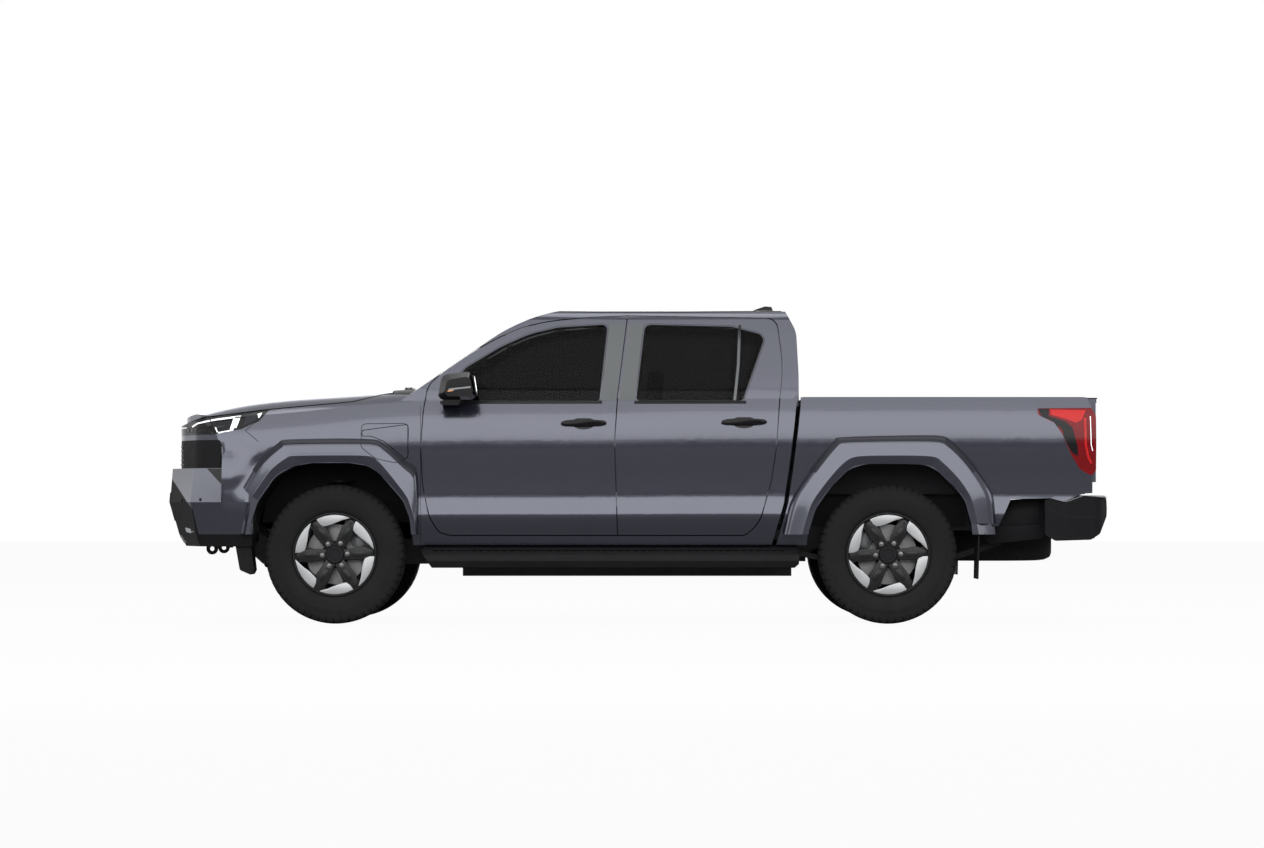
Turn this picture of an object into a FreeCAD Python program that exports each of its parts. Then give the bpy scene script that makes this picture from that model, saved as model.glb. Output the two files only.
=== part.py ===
"""Double-cab electric pickup truck, built panel by panel and written as one STEP file a piece.

Millimetres. The truck faces -X, its left side is -Y, +Z is up, and the origin is on the
ground under the middle of its length. Every size below is tied to the values named here.
"""
import FreeCAD
import Part
import math
import os

os.makedirs("parts", exist_ok=True)
V = FreeCAD.Vector

# Driving dimensions
LENGTH = 5320.0
WIDTH = 1855.0
AXLE_F = -1655.0
AXLE_R = 1430.0
TYRE_R = 388.0
TYRE_W = 265.0
WHEEL_Y = 768.0
RIM_R = 233.0
KING_Y = 700.0
SILL_Z = 440.0
BELT_Z = 1262.0
FLOOR_Z = 470.0
BED_FLOOR_Z = 785.0
GATE_IN = 2545.0
GATE_OUT = 2600.0
GAP = 6.0
DOOR_T = 70.0
FRAME_T = 45.0
SKIN_T = 10.0
WALL_T = 115.0
PILLAR_T = 62.0
SEAT_GAP = 0.3
STUB_R = 20.0
STUB_END = 740.0
SPARE_Z = 478.0
FRONT_X = -LENGTH / 2
REAR_X = LENGTH / 2
FLARE_Y = WIDTH / 2
SEAM_Y = 600.0


# Helpers
def outline(points, place):
    """Closed wire through (u, v) or (u, v, radius) corners, rounded where a radius is given."""
    n = len(points)
    ends = []
    for i in range(n):
        p, a, b = points[i], points[i - 1], points[(i + 1) % n]
        r = p[2] if len(p) > 2 else 0
        here, before, after = V(p[0], p[1], 0), V(a[0], a[1], 0), V(b[0], b[1], 0)
        if r <= 0:
            ends.append((here, None, here))
            continue
        ua, ub = (before - here).normalize(), (after - here).normalize()
        angle = ua.getAngle(ub)
        t = r / math.tan(angle / 2)
        half = (ua + ub).normalize()
        ends.append((here + ua * t, here + half * (r / math.sin(angle / 2) - r), here + ub * t))
    edges = []
    for i in range(n):
        start, middle, end = ends[i]
        last = ends[i - 1][2]
        if (start - last).Length > 1e-6:
            edges.append(Part.LineSegment(place(last.x, last.y), place(start.x, start.y)).toShape())
        if middle is not None:
            edges.append(Part.Arc(place(start.x, start.y), place(middle.x, middle.y),
                                  place(end.x, end.y)).toShape())
    return Part.Wire(edges)


def grow(points, d):
    """The same rounded polygon with every side moved outwards by d."""
    n = len(points)
    area = sum(points[i - 1][0] * points[i][1] - points[i][0] * points[i - 1][1] for i in range(n))
    turn = 1 if area > 0 else -1
    out = []
    for i in range(n):
        p, a, b = points[i], points[i - 1], points[(i + 1) % n]
        e1 = V(p[0] - a[0], p[1] - a[1], 0).normalize()
        e2 = V(b[0] - p[0], b[1] - p[1], 0).normalize()
        n1, n2 = V(e1.y, -e1.x, 0) * turn, V(e2.y, -e2.x, 0) * turn
        k = d / (1 + n1.dot(n2))
        q = (p[0] + (n1 + n2).x * k, p[1] + (n1 + n2).y * k)
        if len(p) > 2:
            outer_corner = (e1.x * e2.y - e1.y * e2.x) * turn > 0
            q += (max(p[2] + (d if outer_corner else -d), 3),)
        out.append(q)
    return out


def prism(points, y0, y1):
    """Side-view outline (x, z) run from y0 to y1."""
    return Part.Face(outline(points, lambda u, v: V(u, y0, v))).extrude(V(0, y1 - y0, 0))


def slab(points, x0, x1):
    """Front-view outline (y, z) run from x0 to x1."""
    return Part.Face(outline(points, lambda u, v: V(x0, u, v))).extrude(V(x1 - x0, 0, 0))


def plan(points, z0, z1):
    """Top-view outline (x, y) run from z0 to z1."""
    return Part.Face(outline(points, lambda u, v: V(u, v, z0))).extrude(V(0, 0, z1 - z0))


def box(x0, x1, y0, y1, z0, z1):
    return Part.makeBox(x1 - x0, y1 - y0, z1 - z0, V(x0, y0, z0))


def rod(r, a, b):
    axis = b - a
    return Part.makeCylinder(r, axis.Length, a, axis)


def turned(profile, x, z):
    """Closed (y, r) profile turned about the axle line through x, z."""
    face = Part.Face(Part.makePolygon([V(x, y, z + r) for y, r in profile + profile[:1]]))
    return face.revolve(V(x, 0, z), V(0, 1, 0), 360)


def other_side(shape):
    return shape.mirror(V(0, 0, 0), V(0, 1, 0))


def joined(first, *rest):
    whole = first.multiFuse(list(rest))
    try:
        return whole.removeSplitter()
    except Part.OCCError:
        return whole


def solid_of(shape, least=2000.0):
    """Drop slivers: keep the solids over a small volume, as one shape."""
    keep = [s for s in shape.Solids if s.Volume > least]
    return keep[0] if len(keep) == 1 else Part.makeCompound(keep)


def save(name, shape, least=2000.0):
    shape = solid_of(shape, least)
    count = len(shape.Solids)
    print("%-20s solids %d, valid %s" % (name, count, shape.isValid()), flush=True)
    shape.exportStep("parts/%s.step" % name)
    return shape


def interp(table, x):
    for (x0, v0), (x1, v1) in zip(table, table[1:]):
        if x <= x1:
            return v0 + (v1 - v0) * (x - x0) / (x1 - x0)
    return table[-1][1]


# Lower body: side section from sill to belt as (inward offset, height), carried along X
SIDE = [(62, 440), (40, 500), (14, 570), (6, 611), (13, 650), (24, 700), (24, 740), (14, 860),
        (3, 960), (0, 1020), (4, 1090), (16, 1160), (34, 1220), (50, 1262)]
STATIONS = [-2720, -2400, -2100, -1800, -1500, -1200, -600, 100, 800, 1500, 2100, 2640]
HALF_WIDTH = [(-2720, 812), (-2400, 850), (-2100, 871), (-1800, 882), (-1500, 888), (-1200, 890),
              (-600, 893), (100, 894), (800, 892), (1500, 888), (2100, 880), (2640, 866)]
SHOULDER_Z = [(-2720, 1090), (-2400, 1135), (-2100, 1165), (-1800, 1190), (-1500, 1222),
              (-1200, 1243), (-600, 1252), (100, 1260), (800, 1266), (1500, 1268), (2640, 1268)]
CENTRE_Z = [(-2720, 1085), (-2400, 1205), (-2100, 1268), (-1800, 1295), (-1500, 1312),
            (-1200, 1330), (2640, 1330)]


def section(x, inset):
    w = interp(HALF_WIDTH, x) - inset
    top = interp(SHOULDER_Z, x) - inset
    mid = interp(CENTRE_Z, x) - inset
    low = SILL_Z + inset
    pts = [V(x, -(w - dy), low + (z - 440) * (top - low) / (1262 - 440)) for dy, z in SIDE]
    left = Part.BSplineCurve()
    left.interpolate(pts)
    back = [V(p.x, -p.y, p.z) for p in reversed(pts)]
    right = Part.BSplineCurve()
    right.interpolate(back)
    a, b, h = pts[-1], back[0], mid - top
    lid = Part.BSplineCurve()
    lid.interpolate([a, V(x, a.y + 70, top + h * 0.45), V(x, a.y * 0.5, top + h * 0.88), V(x, 0, mid),
                     V(x, -a.y * 0.5, top + h * 0.88), V(x, -a.y - 70, top + h * 0.45), b])
    under = Part.LineSegment(back[-1], pts[0])
    return Part.Wire([left.toShape(), lid.toShape(), right.toShape(), under.toShape()])


def lower(inset):
    return Part.makeLoft([section(x, inset) for x in STATIONS], True, False)


def upper(inset):
    """Glasshouse: a rounded front-view arch crossed with a windscreen swept about a far axis."""
    i = -inset
    arch = slab(grow([(-891.5, 1000), (-776, 1450, 2500), (-640, 1757, 90), (0, 1794, 8000),
                      (640, 1757, 90), (776, 1450, 2500), (891.5, 1000)], i), -2000, 2000)
    side = outline(grow([(-1425, 1100), (-1425, 1198), (-595, 1765, 1030), (330, 1797, 8200),
                         (1300, 1760), (1300, 1100)], i), lambda u, v: V(u, 0, v))
    far = V(-1290 + 5500, 0, 0)
    face = Part.Face(side)
    face.rotate(far, V(0, 0, 1), 14)
    sweep = face.revolve(far, V(0, 0, 1), -28)
    back = prism(grow([(-2000, 1050), (-2000, 1900), (850, 1900), (850, 1786, 40), (925, 1640, 160),
                       (935, 1400), (935, 1050)], i), -1000, 1000)
    return arch.common(sweep).common(back)


L = {d: lower(d) for d in (0, SKIN_T, 60, DOOR_T, DOOR_T + 5, WALL_T)}
G = {d: upper(d) for d in (0, 8, 13, FRAME_T, FRAME_T + 5, PILLAR_T)}
LEFT = {d: L[d].common(box(-2800, 2700, -1000, -540, 400, 1400)) for d in L}

# Side-view outlines: doors, windows, arches and shut lines, as (x, z) or (x, z, radius)
DOOR_F = [(-81, 497), (-98, 1015, 900), (-81, 1275, 900), (-27, 1727), (-252, 1717, 900),
          (-454, 1698, 900), (-590, 1669, 700), (-736, 1608, 700), (-897, 1520, 900),
          (-1059, 1406, 300), (-1138, 1330, 120), (-1160, 1194, 600), (-1173, 992, 900),
          (-1164, 781, 400), (-1128, 603, 200), (-1075, 513, 60), (-1011, 497)]
DOOR_R = [(-75, 497), (632, 497, 60), (709, 561, 200), (775, 788, 400), (803, 976, 600),
          (820, 1203, 900), (845, 1450, 900), (812, 1712, 60), (-21, 1727), (-75, 1275, 900),
          (-92, 1015, 900)]
WIN_F = [(-1045, 1241, 25), (-939, 1428, 120), (-736, 1552, 500), (-574, 1626, 500),
         (-413, 1664, 300), (-134, 1681, 30), (-181, 1241, 20)]
WIN_R = [(24, 1245, 20), (74, 1680, 40), (560, 1668, 120), (725, 1625, 40), (743, 1590, 30),
         (620, 1245, 30)]
ARCH_F = [(-2120, 200), (-2120, 560), (-2081, 681, 150), (-1981, 825, 150), (-1878, 881, 100),
          (-1776, 898), (-1574, 898), (-1465, 881, 100), (-1407, 842, 100), (-1270, 686, 200),
          (-1236, 591, 150), (-1209, 357), (-1205, 200)]
ARCH_R = [(970, 200), (980, 474), (994, 566, 200), (1031, 653, 150), (1116, 772, 200),
          (1208, 862, 120), (1293, 889, 150), (1378, 898), (1542, 898), (1648, 883, 100),
          (1706, 850, 100), (1790, 772, 200), (1854, 694, 200), (1890, 558), (1925, 200)]
FLARE_F_LOW = [(-2200, 500), (-2167, 764), (-2079, 904), (-1972, 1004), (-1903, 1026),
               (-1457, 1029), (-1368, 994), (-1262, 904), (-1201, 853), (-1186, 700), (-1186, 500)]
FLARE_F_TOP = [(-2150, 500), (-2112, 716), (-2012, 856), (-1925, 926), (-1868, 940),
               (-1478, 940), (-1405, 906), (-1316, 800), (-1248, 706), (-1212, 600), (-1200, 500)]
FLARE_R_LOW = [(828, 500), (878, 675), (962, 806), (1122, 1015), (1198, 1043), (1688, 1048),
               (1782, 1015), (1895, 901), (2008, 731), (2030, 500)]
FLARE_R_TOP = [(948, 500), (1000, 670), (1085, 795), (1180, 900), (1275, 938), (1655, 938),
               (1735, 900), (1830, 800), (1890, 700), (1932, 500)]
LID_LINE = [(-2580, 1114), (-2420, 1153), (-2028, 1200), (-1560, 1243), (-1385, 1287), (-1345, 1292)]
CAB_REAR = [(921, 1300), (921, 1235), (905, 1087), (877, 865), (849, 675), (782, 440)]
BED_FRONT = [(x + 25, z) for x, z in CAB_REAR]
CHARGE = [(-1505, 1082, 12), (-1246, 1116, 12), (-1246, 922, 12), (-1268, 922, 12),
          (-1380, 1016, 30), (-1452, 1046, 20), (-1505, 1046, 12)]
LAMP = [(-2720, 1055), (-2340, 1058), (-2180, 1088, 60), (-2085, 1135), (-2036, 1194), (-2420, 1147),
        (-2580, 1108), (-2720, 1108)]

WING = [(-2156, 1080), (-2090, 1136), (-2036, 1196), (-1560, 1240), (-1388, 1284), (-1179, 1284),
        (-1179, 440), (-1700, 440), (-1931, 893)]

NEAR, FAR = -1000, -560


def flare(low, top, arch):
    body = Part.makeLoft([outline(low, lambda u, v: V(u, -846, v)),
                          outline(top, lambda u, v: V(u, -FLARE_Y, v))], True, True)
    return body.cut(prism(arch, NEAR, FAR))


# Doors: a thin outer skin out to the shut line, a thicker inner box set back from it
def door(shape, window):
    deep = -600
    bounds_low = box(-1300, 950, NEAR, -770, 440, BELT_Z - 4)
    bounds_high = box(-1300, 950, NEAR, deep, 1215, 1760)
    edge = prism(shape, NEAR, deep)
    inner = prism(grow(shape, -18), NEAR, deep)
    hole = prism(window, NEAR, deep)
    low_skin = LEFT[0].cut(LEFT[SKIN_T]).common(edge).common(bounds_low)
    low_core = LEFT[SKIN_T].cut(LEFT[DOOR_T]).common(inner).common(bounds_low)
    high_skin = G[0].cut(G[8]).common(edge).common(bounds_high)
    high_core = G[8].cut(G[FRAME_T]).common(inner).common(bounds_high)
    return joined(low_skin, low_core, high_skin, high_core).cut(hole)


def window(shape):
    return G[8].cut(G[13]).common(prism(shape, NEAR, -600))


front_door = door(DOOR_F, WIN_F)
rear_door = door(DOOR_R, WIN_R)
front_glass = window(WIN_F)
rear_glass = window(WIN_R)
for side, turn in (("left", lambda s: s), ("right", other_side)):
    save("front_door_" + side, turn(front_door))
    save("rear_door_" + side, turn(rear_door))
    save("front_glass_" + side, turn(front_glass))
    save("rear_glass_" + side, turn(rear_glass))

# Cab sides: sill, pillars and roof rail with stepped door apertures
SCREEN = [(-700, 1200), (-735, 1262), (-600, 1716, 30), (600, 1716, 30), (735, 1262), (700, 1200)]
screen_zone = slab(SCREEN, -1600, -300)


def cab_side():
    clear_doors = [prism(grow(p, GAP), NEAR, -600) for p in (DOOR_F, DOOR_R)]
    ways = [prism(grow(p, -34), NEAR, -600) for p in (DOOR_F, DOOR_R)]
    bounds_low = prism([(-1177, 440), (-1177, BELT_Z - 4)] + [(921, BELT_Z - 4)] + CAB_REAR[1:],
                       NEAR, -700)
    low = LEFT[0].cut(LEFT[WALL_T]).common(bounds_low)
    for c in clear_doors:
        low = low.cut(c.cut(LEFT[DOOR_T + 5]))
    bounds_high = box(-1300, 940, NEAR, -SEAM_Y, 1215, 1800)
    high = G[0].cut(G[PILLAR_T]).common(bounds_high)
    waist = box(-1300, 950, NEAR, -760, 1200, BELT_Z + GAP)
    for c in clear_doors:
        high = high.cut(c.cut(G[FRAME_T + 5])).cut(c.common(waist))
    high = high.cut(screen_zone)
    post = LEFT[DOOR_T].cut(LEFT[WALL_T]).common(prism([(-1290, 470), (-1290, 1230), (-1177, 1230), (-1177, 470)],
                                             NEAR, -700)).cut(prism(grow(ARCH_F, 16), NEAR, FAR))
    whole = joined(low, high, post)
    for w in ways:
        whole = whole.cut(w)
    return whole


side_left = cab_side()
save("cab_side_left", side_left)
side_right = save("cab_side_right", other_side(side_left))

roof = G[0].cut(G[FRAME_T]).common(box(-1000, 856, -SEAM_Y, SEAM_Y, 1716, 1900))
save("roof_panel", roof)
screen = G[8].cut(G[13]).common(slab([(-700, 1215), (-735, 1262), (-600, 1716, 30), (600, 1716, 30),
                                      (735, 1262), (700, 1215)], -1600, -300))
save("windscreen", screen)

REAR_WIN = [(-560, 1345, 40), (-500, 1665, 40), (500, 1665, 40), (560, 1345, 40)]
back_high = G[0].cut(G[FRAME_T]).common(box(856, 940, -SEAM_Y, SEAM_Y, BELT_Z - 20, 1900))
back_low = box(868, 912, -770, 770, FLOOR_Z, BELT_Z).common(
    prism([(868, 400), (868, 1300)] + [(x - 6, z) for x, z in CAB_REAR], -900, 900))
rear_wall = joined(back_high, back_low).cut(slab(REAR_WIN, 700, 1000)).cut(side_left).cut(side_right)
save("cab_rear_wall", rear_wall)
save("rear_window", G[8].cut(G[13]).common(slab(REAR_WIN, 700, 1000)))

floor = box(-1177, 868, -765, 765, FLOOR_Z, FLOOR_Z + 45).cut(side_left).cut(side_right)
save("cab_floor", floor)

# Cowl and bulkhead in front of the seats
bulkhead = box(-1225, -1177, -735, 735, FLOOR_Z, 1205).cut(side_left).cut(side_right)
save("cab_bulkhead", bulkhead)
cowl = L[0].cut(L[60]).common(prism([(-1339, 1205), (-1339, 1400), (-1160, 1400), (-1060, 1335),
                                     (-1060, 1205)], -1000, 1000))
beside_cowl = prism(grow(WING, 3), NEAR, -637).fuse(prism(grow(DOOR_F, GAP), NEAR, -700))
cowl = cowl.cut(G[0]).cut(side_left).cut(side_right).cut(beside_cowl).cut(other_side(beside_cowl))
LID_X, LID_Z, LID_PIN_R = -1348.0, 1318.0, 4.0
lid_notch = []
lid_pins = []
for s in (-1, 1):
    lid_notch += [box(LID_X - 5, LID_X + 4, s * 200 - 10, s * 200 + 10, LID_Z - 28, LID_Z + 17),
                  rod(LID_PIN_R + SEAT_GAP, V(LID_X, s * 200 - 50, LID_Z), V(LID_X, s * 200 + 50, LID_Z))]
    lid_pins += [box(LID_X, -1330, s * 200 - 5, s * 200 + 5, LID_Z - 3, LID_Z + 3),
                 rod(LID_PIN_R, V(LID_X, s * 200 - 49, LID_Z), V(LID_X, s * 200 + 49, LID_Z))]
cowl = joined(cowl, *lid_pins)
save("cowl", cowl)

# Bonnet
lid_zone = prism([(x, z + 3) for x, z in LID_LINE] + [(-1345, 1400), (-2580, 1400)], -1000, 1000)
NOSE_PLAN = [(-2077, -1100), (-2277, -880), (-2440, -730, 200), (-2560, -470, 500), (-2603, 0, 3000),
             (-2560, 470, 500), (-2440, 730, 200), (-2277, 880), (-2077, 1100), (2900, 1100), (2900, -1100)]
nose_outer = plan(NOSE_PLAN, 300, 1400)
nose_inner = plan(grow(NOSE_PLAN, -90), 300, 1400).common(L[60])
lid_front = plan(grow(NOSE_PLAN, -31), 350, 1500)
bonnet = L[0].common(lid_zone).common(lid_front).cut(lower(36))
for notch in lid_notch:
    bonnet = bonnet.cut(notch)
save("bonnet", bonnet)

# Front wings with flare and charge pocket
flare_f = flare(FLARE_F_LOW, FLARE_F_TOP, ARCH_F)
wing_zone = prism(WING, NEAR, -700)
wing = LEFT[0].cut(LEFT[60]).common(wing_zone).common(box(-2300, -1179, NEAR, -640, 440, 1300))
wing = joined(wing.cut(prism(ARCH_F, NEAR, FAR)), flare_f.common(wing_zone)).cut(LEFT[60]).cut(side_left)
wing = wing.cut(prism(grow(LAMP, 3), NEAR, -600)).cut(box(-1700, -1179, -740, -600, 430, 510))
wing = wing.cut(box(-1350, -1179, -740, -600, 1195, 1300))
pocket = prism(CHARGE, NEAR, -700).cut(LEFT[60])
flap = LEFT[0].cut(LEFT[SKIN_T]).common(prism(grow(CHARGE, -4), NEAR, -700))
FLAP_X, FLAP_Y = -1503.0, -884.0
flap_pin = rod(2 - SEAT_GAP, V(FLAP_X, FLAP_Y, 1054), V(FLAP_X, FLAP_Y, 1074))
flap_tab = box(FLAP_X - 8, FLAP_X, FLAP_Y - 1, FLAP_Y + 1, 1054, 1074)
wing_left = joined(wing.cut(pocket), flap_tab, flap_pin)
save("front_wing_left", wing_left.cut(cowl))
save("front_wing_right", other_side(wing).cut(cowl))
save("charge_flap", flap)

# Front bumper and grille from one nose shell
BUMPER = [(870, [(-2100, -872), (-2290, -868), (-2450, -770), (-2612, -430), (-2645, 0)]),
          (680, [(-2100, -905), (-2274, -905), (-2470, -800), (-2627, -430), (FRONT_X, 0)]),
          (500, [(-2120, -875), (-2300, -868), (-2440, -785), (-2575, -430), (-2607, 0)]),
          (432, [(-2140, -850), (-2300, -845), (-2420, -760), (-2535, -420), (-2567, 0)])]


def bumper_body(inset):
    wires = []
    for z, half in BUMPER:
        pts = half + [(x, -y) for x, y in reversed(half[:-1])]
        k = inset
        if k:
            pts = [(x + k, y * (1 - k / 870.0)) for x, y in pts]
        pts = pts + [(-2000 + k, pts[-1][1]), (-2000 + k, pts[0][1])]
        zz = z if not k else {870: 900, 680: 680, 500: 500, 432: 420}[z]
        wires.append(Part.makePolygon([V(x, y, zz) for x, y in pts + pts[:1]]))
    return Part.makeLoft(wires, True, True)


upper_nose = L[0].common(nose_outer).cut(nose_inner).common(box(-2700, -1900, -1000, 1000, 870, 1300))
low_nose = bumper_body(0).cut(bumper_body(85))
tyre_room = prism(ARCH_F, NEAR, FAR)
tyre_room = tyre_room.fuse(other_side(tyre_room))
lamp_zone = prism(LAMP, -1000, 1000)
lamps = upper_nose.common(lamp_zone)
save("headlamps", lamps)
wing_side = prism(grow(WING, 3), -1000, 1000)
nose = upper_nose.cut(prism([(-2800, 1055)] + LAMP[:5] + [(-2036, 1150), (-1850, 1150), (-1850, 1400),
                                                         (-2800, 1400)], -1000, 1000))
nose = nose.cut(wing_side)
black_top = prism([(-2700, 870), (-2700, 1028), (-2300, 1028, 20), (-2277, 980, 20), (-2277, 870)],
                  -1000, 1000)
black_low = prism([(-2700, 832), (-2634, 832), (-2457, 639), (-2423, 498), (-2400, 400), (-2700, 400)],
                  -1000, 1000)
low_cut = low_nose.cut(tyre_room).cut(wing_side)
flare_nose = flare_f.cut(prism(grow(WING, 3), NEAR, -700)).common(box(-2250, -1900, NEAR, -700, 500, 1100))
shade_zone = box(-2700, -1900, -1000, 1000, 400, 500)
colour_low = low_cut.cut(black_low).cut(shade_zone).common(box(-2700, -1900, -1000, 1000, 400, 872))
colour = joined(nose.cut(black_top), colour_low, flare_nose.cut(nose).cut(L[WALL_T]),
                other_side(flare_nose).cut(nose).cut(L[WALL_T]))
colour = colour.cut(wing_side.common(box(-2300, -1000, -1000, 1000, 400, 1300)))
black = joined(nose.common(black_top), low_cut.common(black_low),
               low_cut.common(shade_zone)).cut(colour)
save("front_bumper", colour)
save("grille", black)

# Load bed: outer walls, rear lamps, tub, tailgate and rear bumper
BED = BED_FRONT + [(1000, 440), (1890, 546), (2046, 546), (2116, 697), (2336, 702), (2413, 682),
                   (2522, 728), (2572, 730), (2572, 1200, 30), (2530, 1300)]
TAIL = [(2264, 1204, 8), (2270, 1166, 20), (2359, 1122, 40), (2404, 1056, 60), (2452, 944, 60),
        (2500, 864, 60), (2566, 826, 20), (2592, 856), (2592, 1166, 30), (2566, 1207)]
BED_Y = 775.0
tail_zone = prism(TAIL, NEAR, -BED_Y)
bed_block = LEFT[0].common(box(700, 2640, NEAR, -BED_Y, 440, 1266))
bed_zone = prism(BED, NEAR, -BED_Y)
flare_r = flare(FLARE_R_LOW, FLARE_R_TOP, ARCH_R).common(prism(BED_FRONT + [(2100, 440), (2100, 1300)],
                                                               NEAR, -700))
bed_side = bed_block.common(bed_zone).cut(prism(ARCH_R, NEAR, FAR)).cut(tail_zone)
flare_r = flare_r.cut(box(700, 2100, -BED_Y, 0, 400, 1300))
bed_side = joined(bed_side, flare_r)
save("bed_side_left", bed_side)
save("bed_side_right", other_side(bed_side))
tail = bed_block.common(tail_zone)
save("tail_lamps", Part.makeCompound([tail, other_side(tail)]))

tub_end = GATE_IN - 7
tub = box(955, 985, -BED_Y, BED_Y, 725, BELT_Z)
tub_parts = [box(985, tub_end, -BED_Y, BED_Y, 725, BED_FLOOR_Z)]
for s in (-1, 1):
    ys = sorted((s * BED_Y, s * (BED_Y - 13)))
    tub_parts.append(box(985, tub_end, ys[0], ys[1], BED_FLOOR_Z, BELT_Z))
    ys = sorted((s * BED_Y, s * 555))
    tub_parts.append(box(1015, 1850, ys[0], ys[1], BED_FLOOR_Z, 1010))
tub = joined(tub, *tub_parts)
arch_in = prism(ARCH_R, -BED_Y - 1, -600)
tub = tub.cut(arch_in).cut(other_side(arch_in))
for x in range(1080, 2500, 160):
    tub = tub.cut(box(x, x + 70, -520, 520, BED_FLOOR_Z - 8, BED_FLOOR_Z + 1))
GATE_X, GATE_Z, GATE_PIN_R = 2556.0, 776.0, 6.0
gate_pins = []
gate_eyes = []
gate_bores = []
for s in (-1, 1):
    ya, yb = sorted((s * 645, s * 660))
    gate_pins += [box(tub_end - 20, GATE_X + 7, ya, yb, GATE_Z - 8, GATE_Z + 8),
                  rod(GATE_PIN_R, V(GATE_X, s * 650, GATE_Z), V(GATE_X, s * 602, GATE_Z))]
    ya, yb = sorted((s * 600, s * 640))
    gate_eyes += [rod(GATE_PIN_R * 2, V(GATE_X, ya, GATE_Z), V(GATE_X, yb, GATE_Z)),
                  box(GATE_X - 10, GATE_X + 10, ya, yb, GATE_Z, 795)]
    gate_bores.append(rod(GATE_PIN_R + SEAT_GAP, V(GATE_X, ya - 1, GATE_Z), V(GATE_X, yb + 1, GATE_Z)))
tub = joined(tub, *gate_pins)
save("bed_tub", tub)

gate = box(GATE_IN, GATE_OUT, -767, 767, 792, 1258)
gate = gate.cut(box(GATE_OUT - 14, GATE_OUT + 1, -620, 620, 850, 1060))
gate = gate.cut(box(GATE_OUT - 30, GATE_OUT + 1, -120, 120, 1120, 1185))
gate = joined(gate, slab([(-740, 1236), (-720, 1262), (720, 1262), (740, 1236)], GATE_OUT - 30, GATE_OUT + 8))
gate = joined(gate, *gate_eyes)
for bore in gate_bores:
    gate = gate.cut(bore)
save("tailgate", gate)

BUMP_SIDE = [(2305, 691), (2336, 696), (2413, 676), (2522, 716), (2655, 703, 10), (REAR_X, 640),
             (2656, 600), (2612, 503, 20), (2560, 470), (2367, 464, 20), (2305, 500)]
BUMP_PLAN = [(2300, -868), (2430, -884, 80), (2610, -868, 60), (REAR_X, -790, 60), (REAR_X, 790, 60),
             (2610, 868, 60), (2430, 884, 80), (2300, 868), (2300, 800), (2570, 800), (2570, -800),
             (2300, -800)]
hitch = box(2470, 2640, -40, 40, 470, 550)
rear_bumper = plan(BUMP_PLAN, 440, 740).common(prism(BUMP_SIDE, -1000, 1000)).cut(hitch)
save("rear_bumper", rear_bumper)

# Frame, battery and running gear
RAIL = [(-2440, 450), (-2230, 450), (-2100, 330), (905, 330), (1120, 470), (1700, 520), (2500, 520),
        (2500, 640), (1650, 640), (1100, 610), (905, FLOOR_Z), (-2060, FLOOR_Z), (-2200, 560), (-2440, 560)]
frame_parts = []
for s in (-1, 1):
    ya, yb = sorted((s * 330, s * 410))
    frame_parts.append(prism(RAIL, ya, yb).common(box(-2600, -1000, ya, yb, 300, 700)))
    ya, yb = sorted((s * 460, s * 540))
    frame_parts.append(prism(RAIL, ya, yb).common(box(-1100, 2600, ya, yb, 300, 700)))
    for x, z in ((1010, 540), (1700, 630), (2300, 630)):
        frame_parts.append(box(x, x + 60, ya, yb, z, 725))
for x0, x1, half, z0, z1 in ((-2440, -2380, 330, 450, 560), (-1100, -1000, 540, 340, 460),
                             (905, 985, 460, 345, 445), (1900, 1980, 460, SPARE_Z + TYRE_W / 2 + SEAT_GAP, 640),
                             (2440, 2500, 460, 520, 640)):
    frame_parts.append(box(x0, x1, -half, half, z0, z1))
frame_parts.append(box(-2482, -2440, -380, 380, 470, 560))
frame_parts.append(hitch)
frame_body = joined(frame_parts[0], *frame_parts[1:]).cut(box(2520, 2650, -28, 28, 482, 538)).cut(black)
save("ladder_frame", frame_body)
save("battery_pack", box(-1000, 905, -460, 460, 262, 440).cut(box(-1001, -960, -461, 461, 262, 330)))
save("front_drive_unit", box(-1850, -1460, -330, 330, 275, 560))

BALL_R = 8.0
sus = [box(-1795, -1515, -410, 410, 235, 265)]
for s in (-1, 1):
    for z0, z1, root, tip in ((235, 265, 140, 40), (505, 530, 90, 36)):
        sus.append(plan([(AXLE_F - root, s * 409), (AXLE_F + root, s * 409), (AXLE_F + tip, s * 648),
                         (AXLE_F - tip, s * 648)], z0, z1))
    ya, yb = sorted((s * 410, s * 430))
    sus.append(box(AXLE_F - 90, AXLE_F + 90, ya, yb, 235, 545))
    sus.append(rod(22, V(AXLE_F, s * 330.5, TYRE_R), V(AXLE_F, s * 622, TYRE_R)))
    ya, yb = sorted((s * 630, s * 648))
    sus.append(box(AXLE_F - 20, AXLE_F + 20, ya, yb, 205, 265))
    ya, yb = sorted((s * 630, s * (KING_Y + 12)))
    sus.append(box(AXLE_F - 20, AXLE_F + 20, ya, yb, 205, 221))
    sus.append(rod(BALL_R, V(AXLE_F, s * KING_Y, 206), V(AXLE_F, s * KING_Y, 252)))
front_sus = joined(sus[0], *sus[1:]).cut(frame_body).cut(box(-1850, -1460, -330, 330, 275, 560))
save("front_suspension", front_sus)

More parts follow.
